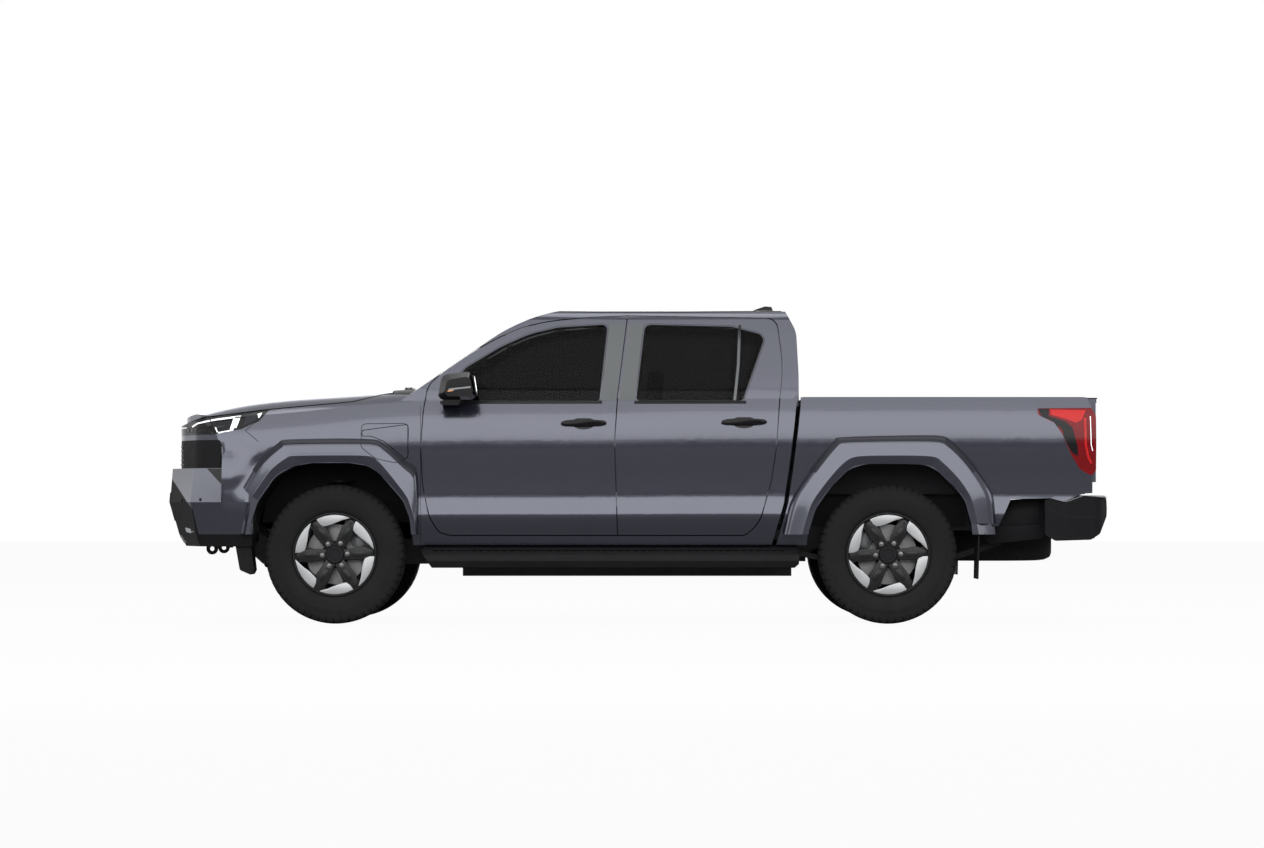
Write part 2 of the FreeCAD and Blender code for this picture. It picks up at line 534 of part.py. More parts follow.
knuckle = joined(rod(20, V(AXLE_F, 8 - KING_Y, 228), V(AXLE_F, 8 - KING_Y, 540)),
                 rod(62, V(AXLE_F, -664, TYRE_R), V(AXLE_F, -712, TYRE_R)),
                 rod(STUB_R, V(AXLE_F, -711, TYRE_R), V(AXLE_F, -STUB_END, TYRE_R)),
                 box(AXLE_F - 24, AXLE_F + 24, -712, -664, 226, 272),
                 box(AXLE_F - 24, AXLE_F + 24, -712, -664, 498, 540))
knuckle = knuckle.cut(rod(BALL_R + SEAT_GAP, V(AXLE_F, -KING_Y, 220), V(AXLE_F, -KING_Y, 253)))
save("knuckle_left", knuckle)
save("knuckle_right", other_side(knuckle))

axle = joined(rod(45, V(AXLE_R, -640, TYRE_R), V(AXLE_R, 640, TYRE_R)),
              rod(60, V(AXLE_R, -712, TYRE_R), V(AXLE_R, -640, TYRE_R)),
              rod(60, V(AXLE_R, 640, TYRE_R), V(AXLE_R, 712, TYRE_R)),
              rod(STUB_R, V(AXLE_R, -STUB_END, TYRE_R), V(AXLE_R, STUB_END, TYRE_R)),
              box(1290, 1570, -180, 180, 275, 500),
              box(1385, 1475, -622, -556, 343, TYRE_R), box(1385, 1475, 556, 622, 343, TYRE_R))
save("rear_axle", axle)
LEAF = [(835, 395), (1100, 345), (1300, 320), (AXLE_R, 313), (1560, 320), (1800, 350), (2055, 430),
        (2055, 462), (1800, 382), (1560, 350), (AXLE_R, 343), (1300, 350), (1100, 375), (835, 427)]
leaf = joined(prism(LEAF, -622, -556), box(815, 872, -624, -540, 385, 440),
              box(2030, 2078, -624, -540, 432, 600))
leaf = leaf.cut(axle)
save("leaf_springs", Part.makeCompound([leaf, other_side(leaf)]))

# Wheels and tyres, made at the right side and mirrored
SEAT_R = RIM_R - 11
RIM = [(-123, RIM_R), (-111, RIM_R), (-105, SEAT_R), (105, SEAT_R), (111, RIM_R), (125, RIM_R),
       (125, RIM_R - 7), (103, SEAT_R - 14), (-103, SEAT_R - 14), (-123, RIM_R - 7)]
HALF = TYRE_W / 2
TYRE = [(-105, SEAT_R), (-111, RIM_R), (-122, 240), (-HALF, 300), (-128, 345), (-113, TYRE_R - 11),
        (-90, TYRE_R - 1), (0, TYRE_R), (90, TYRE_R - 1), (113, TYRE_R - 11), (128, 345), (HALF, 300),
        (124, 240), (111, RIM_R), (105, SEAT_R)]


def wheel(x):
    rim = turned([(WHEEL_Y + y, r) for y, r in RIM], x, TYRE_R)
    bore = STUB_R + SEAT_GAP
    parts = [turned([(717, bore), (717, 58), (722, 58), (722, 150), (744, 150), (744, 75), (846, 75),
                     (874, 62), (874, 0), (STUB_END + 5, 0), (STUB_END + 5, bore)], x, TYRE_R)]
    for k in range(6):
        for lean in (-1, 1):
            bar = box(x - 13, x + 13, 838, 866, TYRE_R + 40, TYRE_R + 214)
            bar.rotate(V(x, 0, TYRE_R), V(0, 1, 0), 30 + k * 60 + lean * 9)
            parts.append(bar)
    return joined(rim, *parts)


def tyre(x):
    return turned([(WHEEL_Y + y, r) for y, r in TYRE], x, TYRE_R)


for end, x in (("front", AXLE_F), ("rear", AXLE_R)):
    w, t = wheel(x), tyre(x)
    save("%s_wheel_right" % end, w)
    save("%s_wheel_left" % end, other_side(w))
    save("%s_tyre_right" % end, t)
    save("%s_tyre_left" % end, other_side(t))

spare = turned(TYRE[:-1] + [(60, SEAT_R), (40, 60), (40, 0), (-40, 0), (-105, SEAT_R)], 0, 0)
spare.rotate(V(0, 0, 0), V(1, 0, 0), 90)
spare.translate(V(2035, 0, SPARE_Z))
save("spare_wheel", spare)

# Running boards, arch liners, flaps and tow eyes
board = slab([(-922, 352, 8), (-915, 385, 10), (-790, 438), (-745, 438), (-745, 405), (-850, 322, 20),
              (-900, 312, 15)], -1180, 940)
board = board.common(prism([(-1177, 409), (-1150, 440), (925, 440), (932, 385), (932, 335, 10),
                            (905, 312), (-1112, 312)], NEAR, -700))
board = joined(board, *[box(x, x + 60, -750, -540, 402, 424) for x in (-900, -80, 740)])
save("running_boards", Part.makeCompound([board, other_side(board)]))

liner = prism(grow(ARCH_F, 12), -805, -445).cut(prism(ARCH_F, -900, -400)).common(
    box(-2300, -1184, -900, -400, 455, 1000))
dam = prism([(-2215, 440), (-2190, 300, 20), (-2125, 272, 10), (-2112, 300), (-2128, 440)], -830, -640)
inner_wall = prism([(x, z) for x, z in [(-2100, 566), (-2075, 700), (-1975, 835), (-1780, 902),
                                        (-1570, 902), (-1420, 850), (-1290, 700), (-1240, 566)]], -452, -445)
guard = box(990, 1885, -553, -545, 545, 725)
liner = joined(liner, inner_wall)
liner = liner.cut(side_left).cut(colour).cut(black).cut(bulkhead).cut(wing)
dam = dam.cut(colour).cut(black)
flap_r = prism([(1932, 546), (1924, 252), (1932, 252), (1940, 546)], -895, -640).cut(bed_side)
save("arch_liners", Part.makeCompound([p for q in (liner, dam, flap_r, guard) for p in (q, other_side(q))]))
EYE_X, EYE_Z, EYE_R = -2398.0, 415.0, 13.0
eye = joined(rod(33, V(EYE_X, -330, EYE_Z), V(EYE_X, -314, EYE_Z)),
             box(EYE_X - 33, -2345, -330, -314, EYE_Z, 520)).cut(
    rod(EYE_R, V(EYE_X, -340, EYE_Z), V(EYE_X, -300, EYE_Z))).cut(frame_body)
save("tow_eyes", Part.makeCompound([eye, other_side(eye)]))

# Mirrors and roof antenna
MIRROR = [(-915, [(-1040, 1264, 20), (-1012, 1360, 40), (-892, 1372, 40), (-874, 1264, 20)]),
          (-1000, [(-1078, 1248, 30), (-1052, 1388, 50), (-885, 1406, 40), (-860, 1248, 30)]),
          (-1085, [(-1040, 1264, 30), (-1020, 1356, 40), (-895, 1376, 30), (-870, 1264, 30)])]
shell = Part.makeLoft([outline(p, lambda u, v, y=y: V(u, y, v)) for y, p in MIRROR], True, True)
arm = prism([(-1055, 1218), (-960, 1218), (-935, 1268), (-1040, 1275)], -1000, -835).cut(LEFT[0])
arm = arm.cut(front_door).cut(G[0])
mirror = joined(shell, arm)
save("mirror_left", mirror)
save("mirror_right", other_side(mirror))
fin = prism([(688, 1760), (700, 1792, 8), (768, 1815, 20), (806, 1812, 6), (826, 1760)], -20, 20).cut(G[0])
save("roof_antenna", fin)

# Cabin
dash = prism([(-1177, 880), (-1177, 1180), (-1060, 1214, 60), (-870, 1160, 60), (-800, 1060, 40),
              (-850, 880)], -690, 690).cut(side_left).cut(side_right)
save("dashboard", dash)
column = V(-0.9, 0, -0.436)
hub = V(-690, -370, 1110)
wheel_ring = Part.makeTorus(178, 15, hub, column)
steer = joined(wheel_ring, rod(42, hub, hub + column * 45), rod(24, hub + column * 20, hub + column * 200),
               box(-708, -684, -545, -195, 1096, 1120)).cut(dash)
save("steering_wheel", steer)
seat = joined(prism([(-490, 560), (-495, 700, 60), (-60, 668, 60), (70, 1250, 40), (190, 1240, 40),
                     (110, 620, 60), (60, 560)], -620, -120),
              prism([(78, 1240), (92, 1420, 30), (185, 1420, 30), (172, 1240)], -500, -240),
              box(-400, 20, -560, -180, FLOOR_Z + 45, 565))
save("front_seats", Part.makeCompound([seat, other_side(seat)]))
bench = joined(prism([(470, 560), (462, 690, 60), (690, 665, 60), (750, 1240, 40), (850, 1240, 40),
                      (840, 560)], -640, 640),
               prism([(765, 1230), (778, 1400, 30), (846, 1400, 30), (842, 1230)], -500, -240),
               prism([(765, 1230), (778, 1400, 30), (846, 1400, 30), (842, 1230)], 240, 500),
               box(520, 820, -560, 560, FLOOR_Z + 45, 565))
save("rear_bench", bench.cut(side_left).cut(side_right).cut(rear_wall))
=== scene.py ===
# %% [markdown]
# A double-cab pickup truck, dressed over a packed engineering model.
# The solids already have the panels, glass, wheels, frame and cabin at their real sizes in metres.
# Blender adds what a photograph shows on top: paint, tinted glass, tyre tread, lamps, handles, seals
# and small trim. The truck faces -X, its left side is -Y and +Z is up.

# %% The frame
import bpy
import bmesh
import math
from mathutils import Matrix, Vector
from mathutils.bvhtree import BVHTree


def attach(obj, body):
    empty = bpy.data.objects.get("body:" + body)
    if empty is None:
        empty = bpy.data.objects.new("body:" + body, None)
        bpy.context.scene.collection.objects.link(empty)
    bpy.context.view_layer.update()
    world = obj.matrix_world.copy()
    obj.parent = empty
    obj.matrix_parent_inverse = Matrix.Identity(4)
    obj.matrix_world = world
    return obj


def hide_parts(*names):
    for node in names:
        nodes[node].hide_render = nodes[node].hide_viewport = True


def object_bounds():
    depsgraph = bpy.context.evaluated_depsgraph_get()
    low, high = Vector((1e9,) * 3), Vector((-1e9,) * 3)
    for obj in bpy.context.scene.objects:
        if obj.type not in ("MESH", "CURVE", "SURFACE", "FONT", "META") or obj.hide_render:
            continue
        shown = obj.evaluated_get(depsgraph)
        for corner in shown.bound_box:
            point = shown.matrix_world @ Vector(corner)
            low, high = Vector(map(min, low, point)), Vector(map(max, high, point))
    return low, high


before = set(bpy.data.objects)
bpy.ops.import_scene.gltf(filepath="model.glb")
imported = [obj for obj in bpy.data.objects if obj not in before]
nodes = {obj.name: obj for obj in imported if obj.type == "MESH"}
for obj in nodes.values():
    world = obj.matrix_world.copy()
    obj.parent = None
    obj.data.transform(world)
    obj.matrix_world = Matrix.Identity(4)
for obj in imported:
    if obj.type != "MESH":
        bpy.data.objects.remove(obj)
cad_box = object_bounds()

# %% [markdown]
# The camera stands about 23 m from the truck and 0.64 m above the ground, so the side is seen almost
# without perspective. A long lens does that in a studio as well. The lens comes from the focal
# length in pixels of a 1264 x 848 image, and a small pitch and yaw put the truck below the middle.

# %% Camera
IMAGE_W = 1264
FOCAL_PX = 4081.0
SENSOR_W = 36.0
HORIZON_ABOVE_PX = 86.0
ASIDE_PX = 17.0
CAMERA_AT = (0.097, -23.637, 0.636)
camera_lens = bpy.data.cameras.new("side_camera")
camera_lens.sensor_width = SENSOR_W
camera_lens.lens = FOCAL_PX * SENSOR_W / IMAGE_W
camera_lens.clip_end = 200.0
camera = bpy.data.objects.new("side_camera", camera_lens)
camera.location = CAMERA_AT
camera.rotation_euler = (math.radians(90) + math.atan(HORIZON_ABOVE_PX / FOCAL_PX), 0,
                         math.atan(ASIDE_PX / FOCAL_PX))
bpy.context.collection.objects.link(camera)
bpy.context.scene.camera = camera
print("lens: %.1f mm" % camera_lens.lens)

# %% [markdown]
# Car paint is judged by what it mirrors. A panel that leans back mirrors what stands twice that
# angle above the ground, so a tall soft box beside the truck fills the doors, a higher one lights
# the shoulder and the arch tops, and one overhead draws the bonnet and the roof. The far side and
# both ends have a box each. All are neutral, so colours come out about as they are written.

# %% Lights
def soft_box(name, place, aim, size, power):
    lamp = bpy.data.lights.new(name, "AREA")
    lamp.shape = "RECTANGLE"
    lamp.size, lamp.size_y = size
    lamp.energy = power
    holder = bpy.data.objects.new(name, lamp)
    holder.location = place
    holder.rotation_euler = (Vector(aim) - Vector(place)).to_track_quat("-Z", "Y").to_euler()
    holder.visible_camera = False
    bpy.context.collection.objects.link(holder)


SOFT_BOXES = [  # name, place, the point it faces, width and height, watts
    ("side_box", (0, -10.5, 4.3), (0, -0.9, 1.0), (17, 5.8), 1150),
    ("shoulder_box", (0, -8.4, 9.0), (0, -0.8, 1.3), (15, 4.4), 430),
    ("top_box", (0, -0.5, 8.0), (0, 0, 1), (11, 4), 480),
    ("far_box", (0.5, 10.5, 5.8), (0, 0.9, 1.0), (15, 5.6), 520),
    ("front_box", (-12, -1.5, 3.6), (-2.5, 0, 0.9), (9, 3.4), 270),
    ("rear_box", (12, -1.5, 3.6), (2.5, 0, 0.9), (9, 3.4), 270),
]
for row in SOFT_BOXES:
    soft_box(*row)
print("soft boxes:", len(SOFT_BOXES))

# %% [markdown]
# The world is even and pale. Rays from the camera, a mirror or glass see it as white, and every
# other ray sees a plainer level, so the background stays white and the truck isn't washed out.

# %% World
FILL_LEVEL = 0.22
world = bpy.data.worlds.new("studio")
bpy.context.scene.world = world
world.use_nodes = True
sky = world.node_tree
sky.nodes.clear()
sky_out = sky.nodes.new("ShaderNodeOutputWorld")
sky_mix = sky.nodes.new("ShaderNodeMixShader")
sky_fill = sky.nodes.new("ShaderNodeBackground")
sky_seen = sky.nodes.new("ShaderNodeBackground")
sky_path = sky.nodes.new("ShaderNodeLightPath")
sky_fill.inputs["Color"].default_value = (0.95, 0.97, 1.0, 1)
sky_fill.inputs["Strength"].default_value = FILL_LEVEL
sky_seen.inputs["Color"].default_value = (1, 1, 1, 1)
sky_seen.inputs["Strength"].default_value = 1.0


def any_of(tree, sockets):
    """1 where any of the sockets is 1."""
    last = sockets[0]
    for socket in sockets[1:]:
        more = tree.nodes.new("ShaderNodeMath")
        more.operation = "MAXIMUM"
        tree.links.new(last, more.inputs[0])
        tree.links.new(socket, more.inputs[1])
        last = more.outputs[0]
    return last


seen = any_of(sky, [sky_path.outputs[n] for n in ("Is Camera Ray", "Is Glossy Ray",
                                                  "Is Transmission Ray")])
sky.links.new(seen, sky_mix.inputs[0])
sky.links.new(sky_fill.outputs[0], sky_mix.inputs[1])
sky.links.new(sky_seen.outputs[0], sky_mix.inputs[2])
sky.links.new(sky_mix.outputs[0], sky_out.inputs[0])
print("world: white where it is seen,", FILL_LEVEL, "as fill light")

# %% [markdown]
# The floor is one wide disc. The camera sees it nearly white, as paper that runs up behind the truck
# would be, while every other ray meets a plain grey, which keeps the shadow under the truck and stops
# the floor from lighting the sills.

# %% Floor
FLOOR_RADIUS = 60
FLOOR_WHITE = 0.955  # how far the floor turns white for the camera alone
FLOOR_GREY = (0.28, 0.28, 0.285, 1)
floor_bm = bmesh.new()
bmesh.ops.create_circle(floor_bm, cap_ends=True, segments=96, radius=FLOOR_RADIUS)
floor_mesh = bpy.data.meshes.new("floor")
floor_bm.to_mesh(floor_mesh)
floor_bm.free()
floor = bpy.data.objects.new("floor", floor_mesh)
bpy.context.collection.objects.link(floor)

floor_paint = bpy.data.materials.new("floor_paint")
floor_paint.use_nodes = True
ground = floor_paint.node_tree
ground_path = ground.nodes.new("ShaderNodeLightPath")
ground_white = ground.nodes.new("ShaderNodeEmission")
ground_mix = ground.nodes.new("ShaderNodeMixShader")
ground_share = ground.nodes.new("ShaderNodeMath")
ground_share.operation = "MULTIPLY"
ground_share.inputs[1].default_value = FLOOR_WHITE
ground.links.new(ground_path.outputs["Is Camera Ray"], ground_share.inputs[0])
ground.links.new(ground_share.outputs[0], ground_mix.inputs[0])
ground.links.new(ground.nodes["Principled BSDF"].outputs[0], ground_mix.inputs[1])
ground.links.new(ground_white.outputs[0], ground_mix.inputs[2])
ground.links.new(ground_mix.outputs[0], ground.nodes["Material Output"].inputs[0])
ground.nodes["Principled BSDF"].inputs["Base Color"].default_value = FLOOR_GREY
ground.nodes["Principled BSDF"].inputs["Roughness"].default_value = 0.7
floor_mesh.materials.append(floor_paint)
bpy.context.scene.view_settings.view_transform = "Standard"
print("floor: %d m in radius" % FLOOR_RADIUS)

# %% [markdown]
# No real surface has one flat value. This helper starts each finish with a principled shader and
# lets three noises work on it: a broad one for tone, one for gloss, and a fine one for the bump of
# moulded grain, cast skin or orange peel. All read Object coordinates, so the pattern is fixed to
# the piece in metres.

# %% A finish with tone, gloss and grain
COAT_ROUGHNESS = 0.04
GLOSS_FINER = 7  # the gloss noise is this many times finer than the tone


def link(tree, a, b):
    tree.links.new(a, b)


def finish(name, colour, rough=0.5, metal=0.0, coat=0.0, tone=0.12, tone_scale=5.0, spread=0.08,
           grain=0.0, grain_scale=400.0, cells=False, depth=0.0006, shine=0.5):
    made = bpy.data.materials.new(name)
    made.use_nodes = True
    tree = made.node_tree
    shader = tree.nodes["Principled BSDF"]
    shader.inputs["Metallic"].default_value = metal
    shader.inputs["Coat Weight"].default_value = coat
    shader.inputs["Coat Roughness"].default_value = COAT_ROUGHNESS
    shader.inputs["Specular IOR Level"].default_value = shine
    where = tree.nodes.new("ShaderNodeTexCoord").outputs["Object"]
    broad = tree.nodes.new("ShaderNodeTexNoise")
    broad.inputs["Scale"].default_value = tone_scale
    broad.inputs["Detail"].default_value = 5
    link(tree, where, broad.inputs["Vector"])
    shade = tree.nodes.new("ShaderNodeMix")
    shade.data_type = "RGBA"
    shade.inputs[6].default_value = tuple(c * (1 - tone) for c in colour) + (1,)
    shade.inputs[7].default_value = tuple(min(c * (1 + tone), 1) for c in colour) + (1,)
    link(tree, broad.outputs[0], shade.inputs[0])
    link(tree, shade.outputs[2], shader.inputs["Base Color"])
    gloss = tree.nodes.new("ShaderNodeTexNoise")
    gloss.inputs["Scale"].default_value = tone_scale * GLOSS_FINER
    gloss.inputs["Detail"].default_value = 6
    link(tree, where, gloss.inputs["Vector"])
    span = tree.nodes.new("ShaderNodeMapRange")
    span.inputs["To Min"].default_value = max(rough - spread, 0.02)
    span.inputs["To Max"].default_value = min(rough + spread, 1)
    link(tree, gloss.outputs[0], span.inputs["Value"])
    link(tree, span.outputs[0], shader.inputs["Roughness"])
    if grain:
        fine = tree.nodes.new("ShaderNodeTexVoronoi" if cells else "ShaderNodeTexNoise")
        fine.inputs["Scale"].default_value = grain_scale
        link(tree, where, fine.inputs["Vector"])
        bump = tree.nodes.new("ShaderNodeBump")
        bump.inputs["Strength"].default_value = grain
        bump.inputs["Distance"].default_value = depth
        link(tree, fine.outputs[0], bump.inputs["Height"])
        link(tree, bump.outputs[0], shader.inputs["Normal"])
    return made


def dust_below(made, top, dust=(0.11, 0.095, 0.08), amount=0.35):
    """Road dust that fades out upwards, as on the lower parts of any driven truck."""
    tree = made.node_tree
    shader = tree.nodes["Principled BSDF"]
    clean = shader.inputs["Base Color"].links[0].from_socket
    where = tree.nodes.new("ShaderNodeTexCoord").outputs["Object"]
    split = tree.nodes.new("ShaderNodeSeparateXYZ")
    link(tree, where, split.inputs[0])
    fade = tree.nodes.new("ShaderNodeMapRange")
    fade.inputs["From Min"].default_value = top
    fade.inputs["From Max"].default_value = 0.0
    fade.inputs["To Max"].default_value = amount
    link(tree, split.outputs[2], fade.inputs["Value"])
    patch = tree.nodes.new("ShaderNodeTexNoise")
    patch.inputs["Scale"].default_value = 14
    patch.inputs["Detail"].default_value = 8
    link(tree, where, patch.inputs["Vector"])
    much = tree.nodes.new("ShaderNodeMath")
    much.operation = "MULTIPLY"
    link(tree, fade.outputs[0], much.inputs[0])
    link(tree, patch.outputs[0], much.inputs[1])
    mix = tree.nodes.new("ShaderNodeMix")
    mix.data_type = "RGBA"
    mix.inputs[7].default_value = dust + (1,)
    link(tree, much.outputs[0], mix.inputs[0])
    link(tree, clean, mix.inputs[6])
    link(tree, mix.outputs[2], shader.inputs["Base Color"])
    return made


def glow(made, colour, strength):
    """A little light of its own, as a light guide gives by day."""
    shader = made.node_tree.nodes["Principled BSDF"]
    shader.inputs["Emission Color"].default_value = colour + (1,)
    shader.inputs["Emission Strength"].default_value = strength


# %% [markdown]
# Metallic paint is a dark violet-grey base full of aluminium flakes under a clear coat. The flakes
# are small cells of noise that tilt the base's normal a little, while the coat above stays smooth,
# so highlights have a sharp edge over a soft glow.

# %% Body paint
paint = finish("body_paint", (0.012, 0.0125, 0.019), rough=0.2, metal=0.3, coat=0.35, tone=0.06,
               tone_scale=2.0, spread=0.03)
paint_tree = paint.node_tree
paint_shader = paint_tree.nodes["Principled BSDF"]
paint_shader.inputs["Specular IOR Level"].default_value = 0.8
paint_shader.inputs["Specular Tint"].default_value = (0.8, 0.83, 1.0, 1)
flakes = paint_tree.nodes.new("ShaderNodeTexVoronoi")
flakes.inputs["Scale"].default_value = 900
flake_bump = paint_tree.nodes.new("ShaderNodeBump")
flake_bump.inputs["Strength"].default_value = 0.08
flake_bump.inputs["Distance"].default_value = 0.0004
link(paint_tree, paint_tree.nodes.new("ShaderNodeTexCoord").outputs["Object"], flakes.inputs["Vector"])
link(paint_tree, flakes.outputs["Color"], flake_bump.inputs["Height"])
link(paint_tree, flake_bump.outputs[0], paint_shader.inputs["Normal"])

# %% [markdown]
# The other finishes follow the same pattern. Moulded plastics get cell grain, cast and coated metal
# a soft pitted skin, rubber a dull surface with dust near the ground, and cloth a fine weave.

# %% Plastics, metals, rubber and cloth
black_plastic = dust_below(finish("moulded_black", (0.008, 0.008, 0.009), rough=0.52, tone=0.2, shine=0.05,
                                  grain=0.35, grain_scale=520, cells=True), 0.5, amount=0.16)
gloss_black = finish("gloss_black", (0.005, 0.005, 0.006), rough=0.12, shine=0.1, spread=0.03)
satin_black = finish("satin_black", (0.009, 0.009, 0.01), rough=0.34, shine=0.09, spread=0.06, grain=0.1,
                     grain_scale=300)
pillar_film = finish("pillar_film", (0.03, 0.035, 0.038), rough=0.24, coat=0.1, tone=0.05, spread=0.04)
seal_rubber = finish("seal_rubber", (0.009, 0.009, 0.009), rough=0.62, shine=0.06, grain=0.2,
                     grain_scale=300)
# a dark grey that paints the shadow in the crease above the arch flares; the headlamp's side lens uses it
# too
flare_crease_shade = finish("flare_crease_shade", (0.016, 0.0165, 0.022), rough=0.4, shine=0.14, spread=0.05)
bed_liner = finish("spray_liner", (0.018, 0.018, 0.02), rough=0.72, tone=0.25, grain=0.8, shine=0.12,
                   grain_scale=210, cells=True, depth=0.0015)
frame_steel = dust_below(finish("coated_steel", (0.014, 0.014, 0.015), rough=0.5, tone=0.3, tone_scale=9,
                                shine=0.08, grain=0.3, grain_scale=120), 0.7)
cast_alloy = finish("cast_alloy", (0.34, 0.35, 0.36), rough=0.5, metal=1.0, grain=0.4, grain_scale=260)
wheel_dark = dust_below(finish("wheel_dark", (0.009, 0.0093, 0.01), rough=0.26, shine=0.16,
                               grain=0.05, grain_scale=500), 0.5, amount=0.06)
wheel_bright = finish("wheel_bright", (0.3, 0.305, 0.31), rough=0.36, metal=0.4, tone=0.04, spread=0.03)
bright_steel = finish("bright_steel", (0.55, 0.55, 0.56), rough=0.2, metal=1.0, tone=0.06)
disc_iron = finish("disc_iron", (0.13, 0.13, 0.13), rough=0.35, metal=1.0, tone=0.2, grain=0.2,
                   grain_scale=240)
caliper_grey = finish("caliper_grey", (0.16, 0.165, 0.17), rough=0.45, metal=0.4, grain=0.3,
                      grain_scale=200)
mirror_silver = finish("mirror_silver", (0.86, 0.87, 0.88), rough=0.03, metal=1.0, tone=0.02, spread=0.01)
tyre_rubber = dust_below(finish("tyre_rubber", (0.012, 0.012, 0.0125), rough=0.72, tone=0.25, grain=0.25,
                                shine=0.05, grain_scale=350, depth=0.0004), 0.45, amount=0.1)
seat_cloth = finish("seat_cloth", (0.03, 0.03, 0.034), rough=0.85, tone=0.18, grain=0.6,
                    grain_scale=850, cells=True)
seat_trim = finish("seat_trim", (0.05, 0.051, 0.056), rough=0.55, tone=0.12, grain=0.5, grain_scale=330,
                   cells=True)
carpet = finish("carpet", (0.02, 0.02, 0.021), rough=0.95, tone=0.3, grain=1.0, grain_scale=650)
lamp_black = finish("lamp_housing", (0.006, 0.006, 0.007), rough=0.18, shine=0.14, spread=0.04)
lamp_white = finish("light_guide", (0.86, 0.88, 0.9), rough=0.2, tone=0.02, coat=0.6, spread=0.05)
glow(lamp_white, (0.92, 0.96, 1), 0.45)
lamp_amber = finish("amber_lens", (0.55, 0.19, 0.02), rough=0.15, coat=0.8, grain=0.3, grain_scale=160,
                    cells=True)
lamp_red = finish("red_lens", (0.14, 0.003, 0.005), rough=0.14, shine=0.14, tone=0.35, tone_scale=9,
                  spread=0.04)
lamp_red_bright = finish("red_light_guide", (0.42, 0.012, 0.012), rough=0.16, shine=0.14, tone=0.1,
                         tone_scale=30, spread=0.04)
glow(lamp_red_bright, (0.9, 0.03, 0.02), 0.06)
reflector = finish("reflector_bowl", (0.7, 0.71, 0.73), rough=0.14, metal=1.0, tone=0.05, spread=0.05)
screen_glass = finish("screen_glass", (0.007, 0.008, 0.011), rough=0.05, shine=0.2, spread=0.02)
print("finishes:", len(bpy.data.materials))

# %% [markdown]
# Tinted glass lets a little of the cabin through and mirrors the studio. It is a transmitting shader
# with a dark tint. Its haze is close to none, because a rough pane would show the cabin as grey fog.

# %% Glass
HAZE = 0.008


def glass(name, tint, index=1.45):
    made = finish(name, tint, tone=0.06, tone_scale=1.5)
    shader = made.node_tree.nodes["Principled BSDF"]
    shader.inputs["Transmission Weight"].default_value = 1.0
    shader.inputs["IOR"].default_value = index
    haze = made.node_tree.nodes["Map Range"]
    haze.inputs["To Min"].default_value = 0.0
    haze.inputs["To Max"].default_value = HAZE
    return made


tinted_glass = glass("privacy_glass", (0.06, 0.062, 0.066), index=1.12)
screen_pane = glass("windscreen_glass", (0.3, 0.33, 0.325), index=1.3)
lens_clear = glass("lens_clear", (0.92, 0.93, 0.95))
print("glass: 3 tints")

# %% [markdown]
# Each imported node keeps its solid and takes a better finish. Painted panels share one paint, so
# their flakes and tone run on from panel to panel, because every node's origin is the truck's own.

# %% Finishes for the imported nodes
BY_FINISH = {
    "paint": (paint, "front_door_left rear_door_left front_door_right rear_door_right cab_side_left "
              "cab_side_right roof_panel cab_rear_wall bonnet front_wing_left front_wing_right "
              "charge_flap front_bumper bed_side_left bed_side_right tailgate"),
    "plastic": (black_plastic, "cowl grille rear_bumper running_boards arch_liners"),
    "dash": (seat_trim, "dashboard"),
    "carpet": (carpet, "cab_floor cab_bulkhead"),
    "privacy": (tinted_glass, "front_glass_left front_glass_right rear_glass_left rear_glass_right "
                "rear_window"),
    "screen": (screen_pane, "windscreen"),
    "lamp": (lamp_black, "headlamps"),
    "tail": (lamp_red, "tail_lamps"),
    "gloss": (gloss_black, "mirror_left mirror_right roof_antenna"),
    "rim_cover": (satin_black, "steering_wheel"),
    "liner": (bed_liner, "bed_tub"),
    "steel": (frame_steel, "ladder_frame rear_axle leaf_springs front_suspension knuckle_left "
              "knuckle_right tow_eyes battery_pack"),
    "alloy": (cast_alloy, "front_drive_unit"),
    "wheels": (wheel_dark, "front_wheel_left front_wheel_right rear_wheel_left rear_wheel_right"),
    "tyres": (tyre_rubber, "front_tyre_left front_tyre_right rear_tyre_left rear_tyre_right spare_wheel"),
    "cloth": (seat_cloth, "front_seats rear_bench"),
}
dressed = set()
for made, names in BY_FINISH.values():
    for name in names.split():
        node = nodes[name]
        node.data.materials.clear()
        node.data.materials.append(made)
        dressed.add(name)
print("dressed nodes:", len(dressed), "left:", sorted(set(nodes) - dressed))

# %% [markdown]
# New pieces start as a few corners or a create_ shape in a bmesh, and operators do the rest.
# Sizes are typed in millimetres, as on a drawing, and turned into metres once, in at().
# Left-hand pieces are built on the -Y side, and the right-hand ones are their mirror image.

# %% From a bmesh to a finished piece
MM = 0.001


def at(x, y, z):
    return Vector((x * MM, y * MM, z * MM))


def piece(name, bm, made, body="chassis", smooth=35, replaces=(), slot=None):
    """Turn a bmesh into a finished object that rides on a body."""
    bmesh.ops.remove_doubles(bm, verts=bm.verts, dist=0.00002)
    bmesh.ops.recalc_face_normals(bm, faces=bm.faces)
    mesh = bpy.data.meshes.new(name)
    bm.to_mesh(mesh)
    bm.free()
    mesh.materials.append(made)
    mesh.shade_smooth()
    mesh.set_sharp_from_angle(angle=math.radians(smooth))
    obj = bpy.data.objects.new(name, mesh)
    bpy.context.collection.objects.link(obj)
    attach(obj, body)
    if replaces:
        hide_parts(*replaces)


def flipped(bm):
    """The mirror image across the truck's middle."""
    other = bm.copy()
    bmesh.ops.scale(other, vec=(1, -1, 1), verts=other.verts)
    bmesh.ops.reverse_faces(other, faces=other.faces)
    return other


def pair(name, bm, made, left="chassis", right="chassis", **more):
    """A left piece and its mirror image on the right."""
    other = flipped(bm)
    piece(name + "_left", bm, made, left, **more)
    piece(name + "_right", other, made, right, **more)


